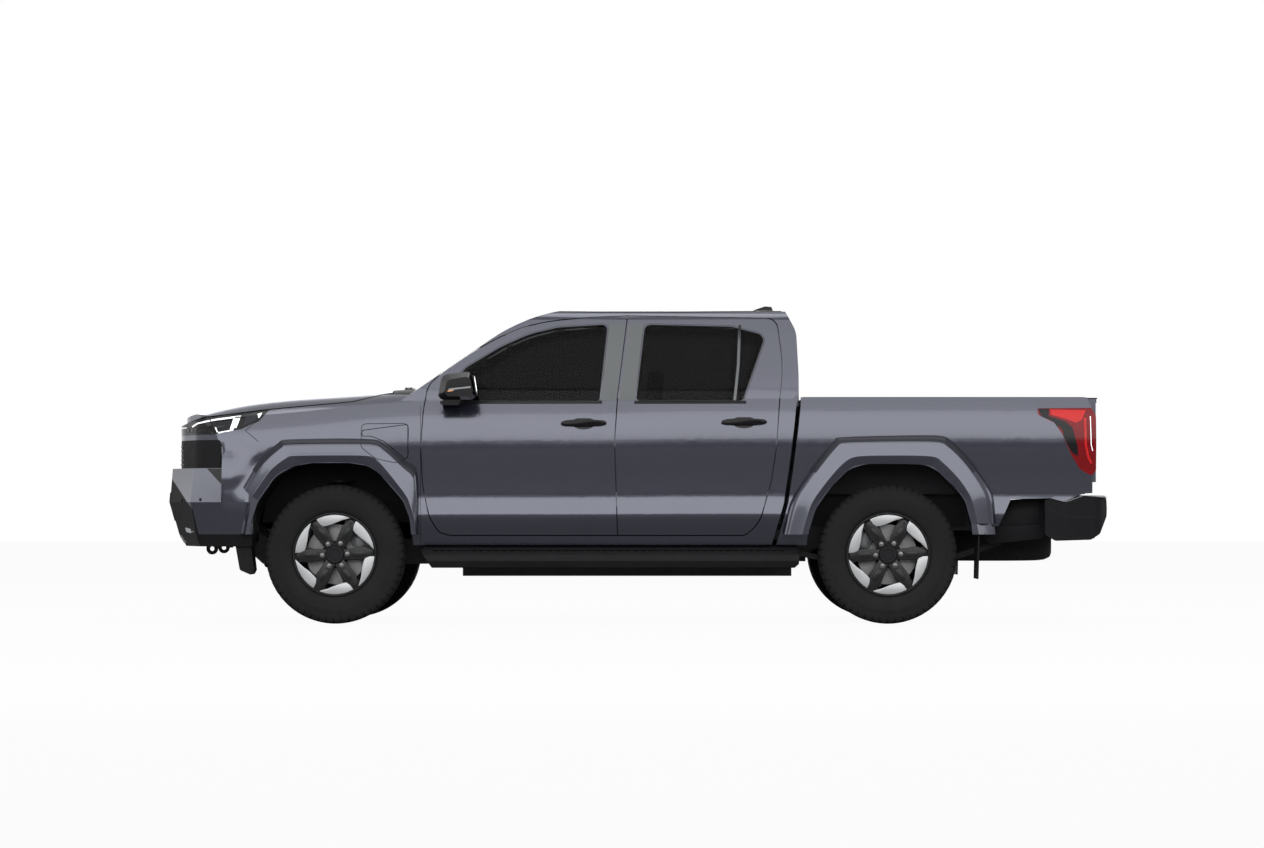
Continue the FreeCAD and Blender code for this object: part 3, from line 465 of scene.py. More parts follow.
def add(bm, more):
    """Join one bmesh into another."""
    spare = bpy.data.meshes.new("spare")
    more.to_mesh(spare)
    bm.from_mesh(spare)
    bpy.data.meshes.remove(spare)
    more.free()
    return bm


def both(bm):
    """One mesh that holds a left shape and its mirror image."""
    return add(bm, flipped(bm))


print("sizes in mm, 1 mm =", MM, "m")

# %% [markdown]
# Moulded and pressed parts are plates and bars with rounded edges, and a real edge is never sharp:
# its small radius is what catches the light. So every helper here ends in a bevel, and an outline
# drawn from the side or the front, pushed along the third axis, gives most of the shapes.

# %% Plates, blocks and bars
def soften(bm, width, segments=2, least=25):
    """Bevel every edge that is sharper than an angle."""
    bmesh.ops.remove_doubles(bm, verts=bm.verts, dist=0.00001)
    bmesh.ops.recalc_face_normals(bm, faces=bm.faces)
    sharp = [e for e in bm.edges if len(e.link_faces) == 2 and e.calc_face_angle(0) > math.radians(least)]
    bmesh.ops.bevel(bm, geom=sharp, offset=width * MM, offset_type="OFFSET", segments=segments,
                    profile=0.5, affect="EDGES", material=-1, clamp_overlap=True)
    return bm


def pushed(bm, corners, way):
    """A flat face through corners, extruded along a way."""
    face = bm.faces.new([bm.verts.new(c) for c in corners])
    grown = bmesh.ops.extrude_face_region(bm, geom=[face])
    bmesh.ops.translate(bm, vec=way, verts=[g for g in grown["geom"] if isinstance(g, bmesh.types.BMVert)])
    return bm


def side_plate(points, y0, y1, soft=0, segments=2):
    """A side-view outline (x, z) pushed from y0 to y1."""
    bm = pushed(bmesh.new(), [at(x, y0, z) for x, z in points], at(0, y1 - y0, 0))
    return soften(bm, soft, segments) if soft else bm


def front_plate(points, x0, x1, soft=0, segments=2):
    """A front-view outline (y, z) pushed from x0 to x1."""
    bm = pushed(bmesh.new(), [at(x0, y, z) for y, z in points], at(x1 - x0, 0, 0))
    return soften(bm, soft, segments) if soft else bm


def block(x0, x1, y0, y1, z0, z1, soft=3, segments=2):
    """A cube stretched between two corners, with its edges rounded."""
    bm = bmesh.new()
    made = bmesh.ops.create_cube(bm, size=1)
    bmesh.ops.scale(bm, vec=at(x1 - x0, y1 - y0, z1 - z0), verts=made["verts"])
    bmesh.ops.translate(bm, vec=at((x0 + x1) / 2, (y0 + y1) / 2, (z0 + z1) / 2), verts=made["verts"])
    return soften(bm, soft, segments) if soft else bm


def rod(start, end, radius, segments=24, soft=0, tip=None):
    """A round bar between two points, tapered where a tip radius is given."""
    a, b = at(*start), at(*end)
    bm = bmesh.new()
    bmesh.ops.create_cone(bm, cap_ends=True, segments=segments, radius1=radius * MM,
                          radius2=(radius if tip is None else tip) * MM, depth=(b - a).length)
    turn = (b - a).to_track_quat("Z", "Y").to_matrix().to_4x4()
    bmesh.ops.transform(bm, matrix=Matrix.Translation((a + b) / 2) @ turn, verts=bm.verts)
    return soften(bm, soft) if soft else bm


print("plate test:", len(side_plate([(0, 0), (9, 0), (0, 9)], 0, 1).faces), "faces")

# %% [markdown]
# Round parts are half-sections spun about the axle's direction, as on a lathe. Bolsters and rings
# follow a smooth curve instead, which Blender can bevel into a tube and turn into a mesh.

# %% Spun and bent forms
def spun(profile, steps=64, x=0, z=0):
    """An (y, r) profile spun about a line along Y through x, z."""
    bm = bmesh.new()
    verts = [bm.verts.new(at(0, y, r)) for y, r in profile]
    edges = [bm.edges.new(p) for p in zip(verts, verts[1:] + verts[:1])]
    bmesh.ops.spin(bm, geom=verts + edges, cent=(0, 0, 0), axis=(0, 1, 0), dvec=(0, 0, 0),
                   angle=math.tau, steps=steps, use_merge=True, use_duplicate=False)
    bmesh.ops.remove_doubles(bm, verts=bm.verts, dist=0.00001)
    bmesh.ops.translate(bm, vec=at(x, 0, z), verts=bm.verts)
    return bm


def moved(bm, way):
    """The same mesh, shifted by a way in mm."""
    bmesh.ops.translate(bm, vec=at(*way), verts=bm.verts)
    return bm


def turned(bm, degrees, centre, axis="Y"):
    """The same mesh, turned about a line through a centre."""
    spin = Matrix.Rotation(math.radians(degrees), 4, axis)
    place = Matrix.Translation(at(*centre))
    bmesh.ops.transform(bm, matrix=place @ spin @ place.inverted(), verts=bm.verts)
    return bm


def tube(points, radius, closed=False):
    """A bent bar along points, as a mesh."""
    bend = bpy.data.curves.new("bend", "CURVE")
    bend.dimensions = "3D"
    bend.bevel_depth = radius * MM
    bend.bevel_resolution = 3
    bend.resolution_u = 8
    bend.use_fill_caps = True
    line = bend.splines.new("NURBS")
    line.points.add(len(points) - 1)
    for p, q in zip(line.points, points):
        p.co = (*at(*q), 1)
    line.order_u = 3
    line.use_endpoint_u = not closed
    line.use_cyclic_u = closed
    holder = bpy.data.objects.new("bend", bend)
    bpy.context.collection.objects.link(holder)
    bpy.context.view_layer.update()
    mesh = bpy.data.meshes.new_from_object(holder.evaluated_get(bpy.context.evaluated_depsgraph_get()))
    bm = bmesh.new()
    bm.from_mesh(mesh)
    bpy.data.objects.remove(holder)
    bpy.data.curves.remove(bend)
    bpy.data.meshes.remove(mesh)
    return bm


print("ring test:", len(spun([(0, 5), (0, 9), (2, 9)], 12).verts), "vertices")

# %% [markdown]
# Trim follows the skin under it. A ray fired at a packed panel tells where its surface is, so a
# part drawn in side view can sit on the curved door or glass. A search tree over the panel's faces
# makes thousands of such rays quick, and each tree is kept once it is built.

# %% Finding a panel's skin
skins = {}


def skin_of(name):
    """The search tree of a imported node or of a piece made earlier."""
    if name not in skins:
        mesh = (nodes[name] if name in nodes else bpy.data.objects[name]).data
        skins[name] = BVHTree.FromPolygons([v.co for v in mesh.vertices],
                                           [p.vertices[:] for p in mesh.polygons])
    return skins[name]


def skin_y(names, x, z):
    """How far out, towards -Y, the named panels reach at a side-view point."""
    best = None
    for name in names:
        hit = skin_of(name).ray_cast(at(x, -1500, z), Vector((0, 1, 0)))[0]
        if hit and (best is None or hit.y < best):
            best = hit.y
    return best


def ray_to(name, start, way, fallback):
    """Where a ray along one axis meets a panel, in mm on that axis, or a fallback if it misses."""
    hit = skin_of(name).ray_cast(at(*start), Vector(way))[0]
    axis = [abs(w) for w in way].index(1)
    return hit[axis] / MM if hit else fallback


print("door skin at the handle: y = %.1f mm" % (skin_y(["front_door_left"], -268, 1125) / MM))

# %% [markdown]
# A tyre is one profile spun about the axle: bead, sidewall with its raised rings, shoulder and a
# crown with four grooves. The spin has many short steps so that blocks of tread can then be cut by
# sinking chosen faces, as a mould does, which keeps the tread one closed skin with the carcass.

# %% Tyres with tread
AXLE_Z = 388.0
FRONT_X, REAR_X = -1655.0, 1430.0
AXLES = (("front", FRONT_X), ("rear", REAR_X))
WHEEL_Y = 768.0
SPARE_AT = (2035, 0, 478)
TREAD_STEPS = 216
TYRE_PROFILE = [(-105, 223), (-112, 234), (-119, 238), (-125, 252), (-129, 268), (-131.5, 290),
                (-132.3, 305), (-131, 322), (-128.6, 326), (-128, 338), (-126, 344), (-124, 354),
                (-119, 366), (-112, 376), (-103, 382.5), (-90, 385.6), (-62, 387), (-60, 379.5),
                (-52, 379.5), (-50, 387.4), (-22, 387.9), (-20, 379.5), (-13, 379.5), (-11, 388),
                (11, 388), (13, 379.5), (20, 379.5), (22, 387.9), (50, 387.4), (52, 379.5),
                (60, 379.5), (62, 387), (90, 385.6), (103, 382.5), (112, 376), (119, 366), (124, 354),
                (126, 344), (128, 338), (128.6, 326), (131, 322), (132.3, 305), (131.5, 290),
                (129, 268), (125, 252), (119, 238), (112, 234), (105, 223)]
# rib: from y, to y, every how many steps a cut, how far turned, least radius of a cut face
TREAD_RIBS = [(-126, -100, 4, 0, 352), (-100, -62, 4, 0, 384), (-50, -22, 6, 1, 384), (-11, 11, 9, 2, 384),
              (22, 50, 6, 4, 384), (62, 100, 4, 2, 384), (100, 126, 4, 2, 352)]
CUT_SCALE = 0.981  # a cut face sinks to this share of its radius


def tyre_mesh():
    """A tyre at the origin, its axle along Y."""
    bm = spun(TYRE_PROFILE, steps=TREAD_STEPS)
    sunk = []
    for f in bm.faces:
        c = f.calc_center_median()
        r = math.hypot(c.x, c.z) / MM
        step = round(math.atan2(c.x, c.z) / math.tau * TREAD_STEPS - 0.5) % TREAD_STEPS
        for y0, y1, every, shift, least in TREAD_RIBS:
            if y0 < c.y / MM < y1 and r > least and (step + shift) % every == 0:
                sunk.append(f)
    bmesh.ops.recalc_face_normals(bm, faces=bm.faces)
    cut = bmesh.ops.extrude_face_region(bm, geom=sunk)
    verts = [g for g in cut["geom"] if isinstance(g, bmesh.types.BMVert)]
    bmesh.ops.scale(bm, vec=(CUT_SCALE, 1, CUT_SCALE), verts=verts)
    bmesh.ops.delete(bm, geom=sunk, context="FACES")
    return bm


tyre_pattern = tyre_mesh()
print("tyre faces:", len(tyre_pattern.faces))
for end, x in AXLES:
    for side, s in (("left", -1), ("right", 1)):
        bm = moved(tyre_pattern.copy(), (x, s * WHEEL_Y, AXLE_Z))
        piece("%s_tread_%s" % (end, side), bm, tyre_rubber, "wheel_%s_%s" % (end, side), smooth=40,
              replaces=["%s_tyre_%s" % (end, side)], slot="tyre")
spare_bm = turned(tyre_pattern, 90, (0, 0, 0), "X")
piece("spare_tread", moved(spare_bm, SPARE_AT), tyre_rubber, smooth=40)

# %% [markdown]
# The rims are two-tone. Six bright machined blades fill the space between the ends of the dark
# painted spokes and the rim, each a little swept, so the wheel seems to turn one way. A blade is a
# flat outline in the wheel's plane, made 14 mm thick with a soft edge and copied round at 60 degrees.

# %% Rim blades, lugs and hub caps
BLADE = [(28, 230), (14, 196), (0, 173), (-14, 168), (-20, 172), (-24, 196), (-25, 230), (-19, 232.5),
         (-12, 233), (-4, 233), (4, 233), (12, 233), (20, 232.5)]
SPOKE = [(-34, 44), (-17, 110), (-13, 168), (-5, 205), (-2.5, 228), (3.5, 228), (8, 196), (15, 150),
         (20, 108), (40, 46)]
SPOKE_RIB = [(-7, 98), (-4, 158), (2, 176), (8, 150), (10, 100)]
SPOKES = 6
SPOKE_STEP = 360 // SPOKES
BLADE_SWEEP = -3
BLADE_SHARE = 0.985  # keeps the blades off the rim's wall
LUG_CIRCLE = 69.9


def on_wheel(degrees, radius):
    """Clockwise from the top, as seen from the left, to a side-view point about the axle."""
    a = math.radians(degrees)
    return radius * math.sin(a), radius * math.cos(a)


def wheel_trim(x):
    """Left wheel's trim: returns blades, spoke faces, lugs and caps."""
    blades, spokes, lugs, caps = (bmesh.new() for _ in range(4))
    for k in range(SPOKES):
        turn = SPOKE_STEP * k + BLADE_SWEEP
        middle = turn + SPOKE_STEP // 2
        points = [on_wheel(a + turn, r * BLADE_SHARE) for a, r in BLADE]
        add(blades, moved(side_plate(points, -872, -886, soft=2.5, segments=3), (x, 0, AXLE_Z)))
        # the raised spoke between two blades, from the hub out to the rim, with a rib on its face
        arm = [on_wheel(middle + a, r) for a, r in SPOKE]
        add(spokes, moved(side_plate(arm, -862, -876, soft=4, segments=3), (x, 0, AXLE_Z)))
        rib = [on_wheel(middle + a, r) for a, r in SPOKE_RIB]
        add(spokes, moved(side_plate(rib, -874, -879, soft=2), (x, 0, AXLE_Z)))
        px, pz = on_wheel(middle, LUG_CIRCLE)
        lug = bmesh.new()
        bmesh.ops.create_cone(lug, cap_ends=True, segments=6, radius1=0.0105, radius2=0.0095, depth=0.02)
        add(lugs, moved(turned(soften(lug, 1.2), 90, (0, 0, 0), "X"), (x + px, -882, AXLE_Z + pz)))
        add(lugs, spun([(-877, 13), (-873, 15), (-873, 0), (-877, 0)], 20, x + px, AXLE_Z + pz))
    add(caps, spun([(-868, 0), (-868, 54), (-876, 54), (-886, 50), (-889, 46), (-889, 31), (-886, 29),
                    (-886, 0)], 48, x, AXLE_Z))
    # narrow machined ring just inside the tyre bead, and the valve stem
    add(spokes, spun([(-893, 233), (-895, 229), (-891, 224), (-884, 224), (-884, 233)], 96, x, AXLE_Z))
    vx, vz = on_wheel(27, 205)
    add(caps, rod((x + vx, -858, AXLE_Z + vz), (x + vx * 0.94, -884, AXLE_Z + vz * 0.94), 3.6, 12))
    return blades, spokes, lugs, caps


for end, x in AXLES:
    left, right = "wheel_%s_left" % end, "wheel_%s_right" % end
    blades, spokes, lugs, caps = wheel_trim(x)
    pair(end + "_rim_blades", blades, wheel_bright, left, right, slot="wheel_alloy")
    pair(end + "_rim_spokes", spokes, wheel_dark, left, right, slot="wheel_alloy")
    pair(end + "_lug_nuts", lugs, disc_iron, left, right)
    pair(end + "_hub_caps", caps, satin_black, left, right)
print("wheels trimmed")

# %% [markdown]
# Behind the spokes sits a vented brake disc that turns with the wheel, and a caliper that doesn't,
# so it rides on the steered upright in front and on the chassis behind.

# %% Brakes
VANES = 36
JAW = [(-26, 118), (26, 118), (28, 150), (24, 186), (12, 194), (-12, 194), (-24, 186), (-28, 150)]
JAW_FACE = [(-15, 128), (15, 128), (13, 172), (-13, 172)]
JAW_LEAN = {"front": 60, "rear": -60}
for end, x in AXLES:
    disc = spun([(-752, 60), (-752, 168), (-759, 168), (-759, 60)], 72, x, AXLE_Z)
    add(disc, spun([(-763, 60), (-763, 168), (-770, 168), (-770, 60)], 72, x, AXLE_Z))
    for k in range(VANES):
        vane = block(x - 2, x + 2, -764, -758, AXLE_Z + 95, AXLE_Z + 166, soft=0)
        add(disc, turned(vane, 360 / VANES * k, (x, 0, AXLE_Z)))
    pair(end + "_brake_disc", disc, disc_iron, "wheel_%s_left" % end, "wheel_%s_right" % end)
    jaw = side_plate([on_wheel(a, r) for a, r in JAW], -734, -792, soft=7)
    add(jaw, side_plate([on_wheel(a, r) for a, r in JAW_FACE], -792, -799, soft=4))
    jaw = moved(turned(jaw, JAW_LEAN[end], (0, 0, 0)), (x, 0, AXLE_Z))
    if end == "front":
        pair("front_caliper", jaw, caliper_grey, "steer_left", "steer_right")
    else:
        piece("rear_calipers", both(jaw), caliper_grey, "chassis")
    print("brakes:", end)

# %% [markdown]
# Strips and films are drawn flat, in the view where their shape is plain, then pushed along that
# view onto the panel. Side, front, rear and top each have their own ray.

# %% Laying trim from any side
FAR = 4.0  # rays start this far out, in metres
VIEWS = {  # view: (place of the drawn point, depth axis, ray direction)
    "side": (lambda u, v, d: (u, d, v), 1, 1),
    "front": (lambda u, v, d: (d, u, v), 0, 1),
    "rear": (lambda u, v, d: (d, u, v), 0, -1),
    "top": (lambda u, v, d: (u, v, d), 2, -1),
}


def lay(bm, view, names, proud, fallback):
    """Push a flat mesh, drawn at depth 0, onto the first skin its view meets."""
    place, axis, way = VIEWS[view]
    ray = Vector((0, 0, 0))
    ray[axis] = way
    for v in bm.verts:
        start = v.co.copy()
        start[axis] = -way * FAR
        best = None
        for name in names:
            hit = skin_of(name).ray_cast(start, ray)[0]
            if hit and (best is None or (hit[axis] - best) * way < 0):
                best = hit[axis]
        v.co[axis] = (fallback * MM if best is None else best) - way * proud * MM
    return bm


def rounded(points, steps=5):
    """Round the corners of (u, v, radius) points with short curves."""
    out = []
    for i, p in enumerate(points):
        if len(p) < 3:
            out.append(p)
            continue
        here, before, after = (Vector(q[:2]) for q in (p, points[i - 1], points[(i + 1) % len(points)]))
        a, b = (before - here), (after - here)
        reach = min(p[2] / math.tan(a.angle(b) / 2), a.length / 2, b.length / 2)
        a, b = here + a.normalized() * reach, here + b.normalized() * reach
        for k in range(steps + 1):
            t = k / steps
            out.append(tuple(a * (1 - t) ** 2 + here * 2 * t * (1 - t) + b * t * t))
    return out


def rounded_box(u0, u1, v0, v1, radius):
    """A rectangle with rounded corners, for band() and sheet()."""
    return rounded([(u0, v0, radius), (u0, v1, radius), (u1, v1, radius), (u1, v0, radius)])


def band(view, line, width, names, proud=1.0, thick=2.0, fallback=0, closed=False, step=25):
    """A strip of one width along a line, laid on a skin and given a thickness."""
    place = VIEWS[view][0]
    if closed:
        line = list(line) + [line[0]]
    flat = [Vector(p[:2]) for p in line]
    dense = []
    for a, b in zip(flat, flat[1:]):
        n = max(1, int((b - a).length / step))
        dense += [a.lerp(b, k / n) for k in range(n)]
    if not closed:
        dense.append(flat[-1])
    bm = bmesh.new()
    rows = []
    for i, p in enumerate(dense):
        if closed:
            along = dense[(i + 1) % len(dense)] - dense[i - 1]
        else:
            along = dense[min(i + 1, len(dense) - 1)] - dense[max(i - 1, 0)]
        across = Vector((-along.y, along.x)).normalized() * width / 2
        rows.append([bm.verts.new(at(*place(q.x, q.y, 0))) for q in (p - across, p + across)])
    for one, two in zip(rows, rows[1:] + (rows[:1] if closed else [])):
        bm.faces.new([one[0], one[1], two[1], two[0]])
    lay(bm, view, names, proud, fallback)
    bmesh.ops.recalc_face_normals(bm, faces=bm.faces)
    bmesh.ops.solidify(bm, geom=bm.faces[:], thickness=thick * MM)
    return bm


def sheet(view, points, names, proud=0.6, thick=1.5, fallback=0, cuts=3):
    """A closed outline laid on a skin as a thin sheet."""
    place = VIEWS[view][0]
    bm = bmesh.new()
    bm.faces.new([bm.verts.new(at(*place(p[0], p[1], 0))) for p in points])
    bmesh.ops.triangulate(bm, faces=bm.faces)
    bmesh.ops.subdivide_edges(bm, edges=bm.edges, cuts=cuts, use_grid_fill=True)
    lay(bm, view, names, proud, fallback)
    bmesh.ops.recalc_face_normals(bm, faces=bm.faces)
    bmesh.ops.solidify(bm, geom=bm.faces[:], thickness=thick * MM)
    return bm


print("views that trim can be laid from:", sorted(VIEWS))

# %% [markdown]
# The arch flares of the model are straight facets. A pressed or moulded flare runs round the wheel in
# one curve, so a smooth shell is lofted over each: a spline goes through the same corners, and at
# each step a profile leads from the body over the face to the lip, then in to the arch edge. A dark
# grey strip along the seam between the flare's upper edge and the body is painted shade: it stands
# for the shadow that falls in that crease.

# %% Smooth arch flares
SPLINE_PULL = 0.38  # how far the ends of a stretch pull on its curve


def spline(points, per=8):
    """A curve through the points, with `per` steps between two of them."""
    pts = [Vector(p[:2]) for p in points]
    ends = [pts[0] * 2 - pts[1]] + pts + [pts[-1] * 2 - pts[-2]]
    out = []
    for a, b, c, d in zip(ends, ends[1:], ends[2:], ends[3:]):
        for k in range(per):
            t = k / per
            m0, m1 = (c - a) * SPLINE_PULL, (d - b) * SPLINE_PULL
            out.append(b * (2 * t ** 3 - 3 * t ** 2 + 1) + m0 * (t ** 3 - 2 * t ** 2 + t)
                       + c * (3 * t ** 2 - 2 * t ** 3) + m1 * (t ** 3 - t ** 2))
    return out + [pts[-1]]


# share of the way from body to rim, and how far out the shell is there, in mm
FACE = [(0.0, -886), (0.08, -906), (0.2, -919), (0.4, -924), (0.6, -929), (0.8, -933.5), (0.93, -937),
        (1.0, -939)]
LIP = [(0.06, -939.5), (0.15, -938.5), (0.93, -929), (1.0, -927.7), (1.0, -915), (1.0, -880)]
LIP_Y = -927.7  # the lip never draws in further than this
TUCK = 0.035  # below the fold the flare draws in by this much per mm
FOLD_Z = 740
# the strip of painted crease shade starts above this height, and this is its profile
SHADE_STRIP_FROM_Z = 845
SHADE_STRIP = [(-0.05, -884), (0.0, -890), (0.08, -908.5), (0.17, -919.5), (0.27, -923)]


def flare_shell(low, top, arch_line, x_limit=None, shade_strip=False):
    """The whole flare, or only the strip of painted crease shade along its upper edge."""
    bm = bmesh.new()
    rows = []
    for a, b, c in zip(spline(low), spline(top), spline(arch_line)):
        if shade_strip and a.y < SHADE_STRIP_FROM_Z:
            continue
        c = c + (b - c).normalized()  # 1 mm short of the arch edge
        inward = max(FOLD_Z - b.y, 0) * TUCK
        if shade_strip:
            row = [(a.lerp(b, t), y) for t, y in SHADE_STRIP]
        else:
            row = [(a.lerp(b, t), y + inward) for t, y in FACE]
            row += [(b.lerp(c, s), min(y + inward, LIP_Y) if s < 1 else y) for s, y in LIP]
        if x_limit:
            row = [(Vector((min(p.x, x_limit), p.y)), y) for p, y in row]
        rows.append([bm.verts.new(at(p.x, y, p.y)) for p, y in row])
    for one, two in zip(rows, rows[1:]):
        for k in range(len(one) - 1):
            bm.faces.new([one[k], one[k + 1], two[k + 1], two[k]])
    bmesh.ops.recalc_face_normals(bm, faces=bm.faces)
    if sum((f.normal.y for f in bm.faces)) > 0:
        bmesh.ops.reverse_faces(bm, faces=bm.faces)
    return bm


FLARES = {  # end: lines of (x, z) along the body, the rim of the face and the arch edge
    "front": ([(-2167, 764), (-2079, 904), (-1972, 1004), (-1903, 1026), (-1457, 1029), (-1368, 994),
               (-1262, 904), (-1201, 853), (-1188, 700), (-1188, 500)],
              [(-2112, 716), (-2012, 856), (-1925, 926), (-1868, 940), (-1478, 940), (-1405, 906),
               (-1316, 800), (-1248, 706), (-1212, 600), (-1200, 500)],
              [(-2081, 690), (-1985, 822), (-1893, 874), (-1776, 899), (-1574, 899), (-1452, 874),
               (-1345, 776), (-1272, 690), (-1238, 592), (-1228, 500)]),
    "rear": ([(840, 500), (884, 675), (962, 806), (1122, 1015), (1198, 1043), (1688, 1048),
              (1782, 1015), (1895, 901), (2008, 731), (2030, 560)],
             [(948, 500), (1000, 670), (1085, 795), (1180, 900), (1275, 938), (1655, 938),
              (1735, 900), (1830, 800), (1890, 700), (1925, 560)],
             [(982, 500), (1034, 660), (1112, 767), (1208, 860), (1293, 890), (1638, 886),
              (1706, 850), (1790, 772), (1854, 692), (1889, 560)]),
}
FLARE_LIMITS = {"front": -1187, "rear": None}  # the front flare stops before the front door
for name, lines in FLARES.items():
    limit = FLARE_LIMITS[name]
    pair("%s_flare_skin" % name, flare_shell(*lines, x_limit=limit), paint, smooth=40)
    # a dark grey strip along each flare's upper edge paints the shadow in the crease there
    pair("%s_flare_seal" % name, flare_shell(*lines, x_limit=limit, shade_strip=True), flare_crease_shade, smooth=60)
    print("flare skin:", name)

# %% [markdown]
# Behind the bumper's corner the wing runs down in one smooth cheek to the arch. It is a grid of
# points from the nose to the foot of the flare. A table gives its depth by height, and it fades into
# the skin below it on its way to the arch.

# %% Cheeks beside the bumper
def grid(rows):
    """Faces between rows of points of one length."""
    bm = bmesh.new()
    made = [[bm.verts.new(p) for p in row] for row in rows]
    for one, two in zip(made, made[1:]):
        for k in range(len(one) - 1):
            bm.faces.new([one[k], one[k + 1], two[k + 1], two[k]])
    return bm


def between(table, t):
    """The value of a sorted table of (key, value) pairs at t."""
    for (t0, v0), (t1, v1) in zip(table, table[1:]):
        if (t - t0) * (t - t1) <= 0:
            return v0 + (v1 - v0) * (t - t0) / (t1 - t0)
    return table[0][1] if abs(t - table[0][0]) < abs(t - table[-1][0]) else table[-1][1]


CHEEK_Y = [(505, -870), (560, -877), (620, -885), (680, -893), (740, -899.5), (790, -904.5), (820, -905.5),
           (850, -901), (890, -892), (930, -880), (960, -870), (985, -862), (1005, -856), (1018, -853)]
CHEEK_END = [(500, -2150), (764, -2158), (904, -2072), (1004, -1966), (1018, -1955)]
NOSE_SKIN = ["front_bumper", "grille", "front_wing_left"]
CHEEK_STEPS = 12
CHEEK_FROM_X = -2285
FADE_FROM = 0.3  # the share of the way at which the cheek starts to fade into the skin below
LEAST_PROUD = 0.8
cheek_rows = []
for z, wanted in CHEEK_Y:
    end = between(CHEEK_END, z)
    row = []
    for k in range(CHEEK_STEPS + 1):
        s = k / CHEEK_STEPS
        x = CHEEK_FROM_X + (end - CHEEK_FROM_X) * s
        under = skin_y(NOSE_SKIN, x, z)
        under = wanted if under is None else under / MM
        t = min(max((s - FADE_FROM) / (1 - FADE_FROM), 0), 1)
        stay = 1 - t * t * (3 - 2 * t)
        row.append(at(x, min(under - LEAST_PROUD, under + (wanted - under) * stay), z))
    under = skin_y(NOSE_SKIN, CHEEK_FROM_X - 7, z)
    row.insert(0, at(CHEEK_FROM_X - 6, (under / MM if under else wanted) + 1, z))
    cheek_rows.append(row)
pair("nose_cheek", grid(cheek_rows), paint, smooth=60)
# a black sheet paints the shadow in the triangle between the bumper's upper facet and the wing
pair("nose_shadow_sheet", sheet("side", [(-2376, 868), (-2290, 868), (-2288, 842), (-2287, 778)], NOSE_SKIN,
                       proud=1.2, thick=1, fallback=-870), lamp_black)
print("nose cheeks:", len(cheek_rows), "rows")

# %% [markdown]
# A door window sits in a rubber channel, with a wiped strip along the belt line. The post between
# the two windows is covered by a grey-green film, and a thin bar divides the rear window.

# %% Window seals, post films and the division bar
WINDOW_F = [(-1045, 1241, 25), (-939, 1428, 120), (-736, 1552, 300), (-574, 1626, 300),
            (-413, 1664, 200), (-134, 1681, 30), (-181, 1241, 20)]
WINDOW_R = [(24, 1245, 20), (74, 1680, 40), (560, 1668, 120), (725, 1625, 40), (743, 1590, 30),
            (620, 1245, 30)]
for name, window, door_node, glass_node, x0, x1 in (
        ("front", WINDOW_F, "front_door_left", "front_glass_left", -1070, -165),
        ("rear", WINDOW_R, "rear_door_left", "rear_glass_left", 15, 640)):
    doors = ("door_%s_left" % name, "door_%s_right" % name)
    pair(name + "_window_seal", band("side", rounded(window), 13, [glass_node, door_node], proud=1.2,
                                     thick=2.5, fallback=-800, closed=True), seal_rubber, *doors)
    pair(name + "_belt_strip", band("side", [(x0, 1238), (x1, 1239)], 15, [door_node], proud=3,
                                    thick=4, fallback=-850), gloss_black, *doors)
    print("window seal:", name)
FRONT_DOORS = ("door_front_left", "door_front_right")
REAR_DOORS = ("door_rear_left", "door_rear_right")
pair("front_post_film", sheet("side", [(-176, 1249), (-128, 1683), (-34, 1686), (-86, 1249)],
                              ["front_door_left"], proud=0.8, fallback=-800),
     pillar_film, *FRONT_DOORS)
pair("rear_post_film", sheet("side", [(-70, 1249), (-16, 1686), (68, 1683), (19, 1249)],
                             ["rear_door_left"], proud=0.8, fallback=-800),
     pillar_film, *REAR_DOORS)
pair("window_division", band("side", [(576, 1246), (598, 1450), (607, 1676)], 15, ["rear_glass_left"],
                             proud=2, thick=3, fallback=-780), pillar_film, *REAR_DOORS)

# %% [markdown]
# Each door has a pull bar on two feet with a hand cup behind it. A bar like this is a bevelled
# extrusion of its side view, and the cup's shade is painted as a dark oval patch under the middle of the
# bar.

# %% Door handles
CUP_REACH = (62, 31)
CUP_STEPS = 28


def handle(x0, x1, z, door_node):
    """A handle's bar with its lock, and a dark patch that paints the shade of the cup behind it."""
    long = x1 - x0
    y = skin_y([door_node], (x0 + x1) / 2, z) / MM
    bar = side_plate(rounded([(x0, z - 4, 12), (x0 + 34, z + 14, 20), (x0 + long * 0.3, z + 18, 20),
                              (x0 + long * 0.36, z + 25, 14), (x0 + long * 0.64, z + 25, 14),
                              (x0 + long * 0.7, z + 18, 20), (x1 - 20, z + 13, 20), (x1, z - 1, 12),
                              (x1 - 34, z - 12, 16), (x0 + long * 0.6, z - 17, 20),
                              (x0 + long * 0.4, z - 17, 20), (x0 + 30, z - 13, 16)]),
                     y - 10, y - 27, soft=7, segments=4)
    for fx in (x0 + 32, x1 - 32):
        add(bar, block(fx - 20, fx + 20, y + 3, y - 14, z - 9, z + 9, soft=4))
    lock = spun([(y - 14, 0), (y - 14, 9), (y - 29, 9), (y - 30, 7), (y - 30, 0)], 24, x1 - 28, z)
    middle = (x0 + x1) / 2
    rim = [(middle + CUP_REACH[0] * math.cos(a), z - 6 + CUP_REACH[1] * math.sin(a))
           for a in (k * math.tau / CUP_STEPS for k in range(CUP_STEPS))]
    # a dark oval sheet on the door paints the shade in the hand cup
    cup_shade = sheet("side", rim, [door_node], proud=0.7, thick=1, fallback=y, cuts=2)
    return add(bar, lock), cup_shade


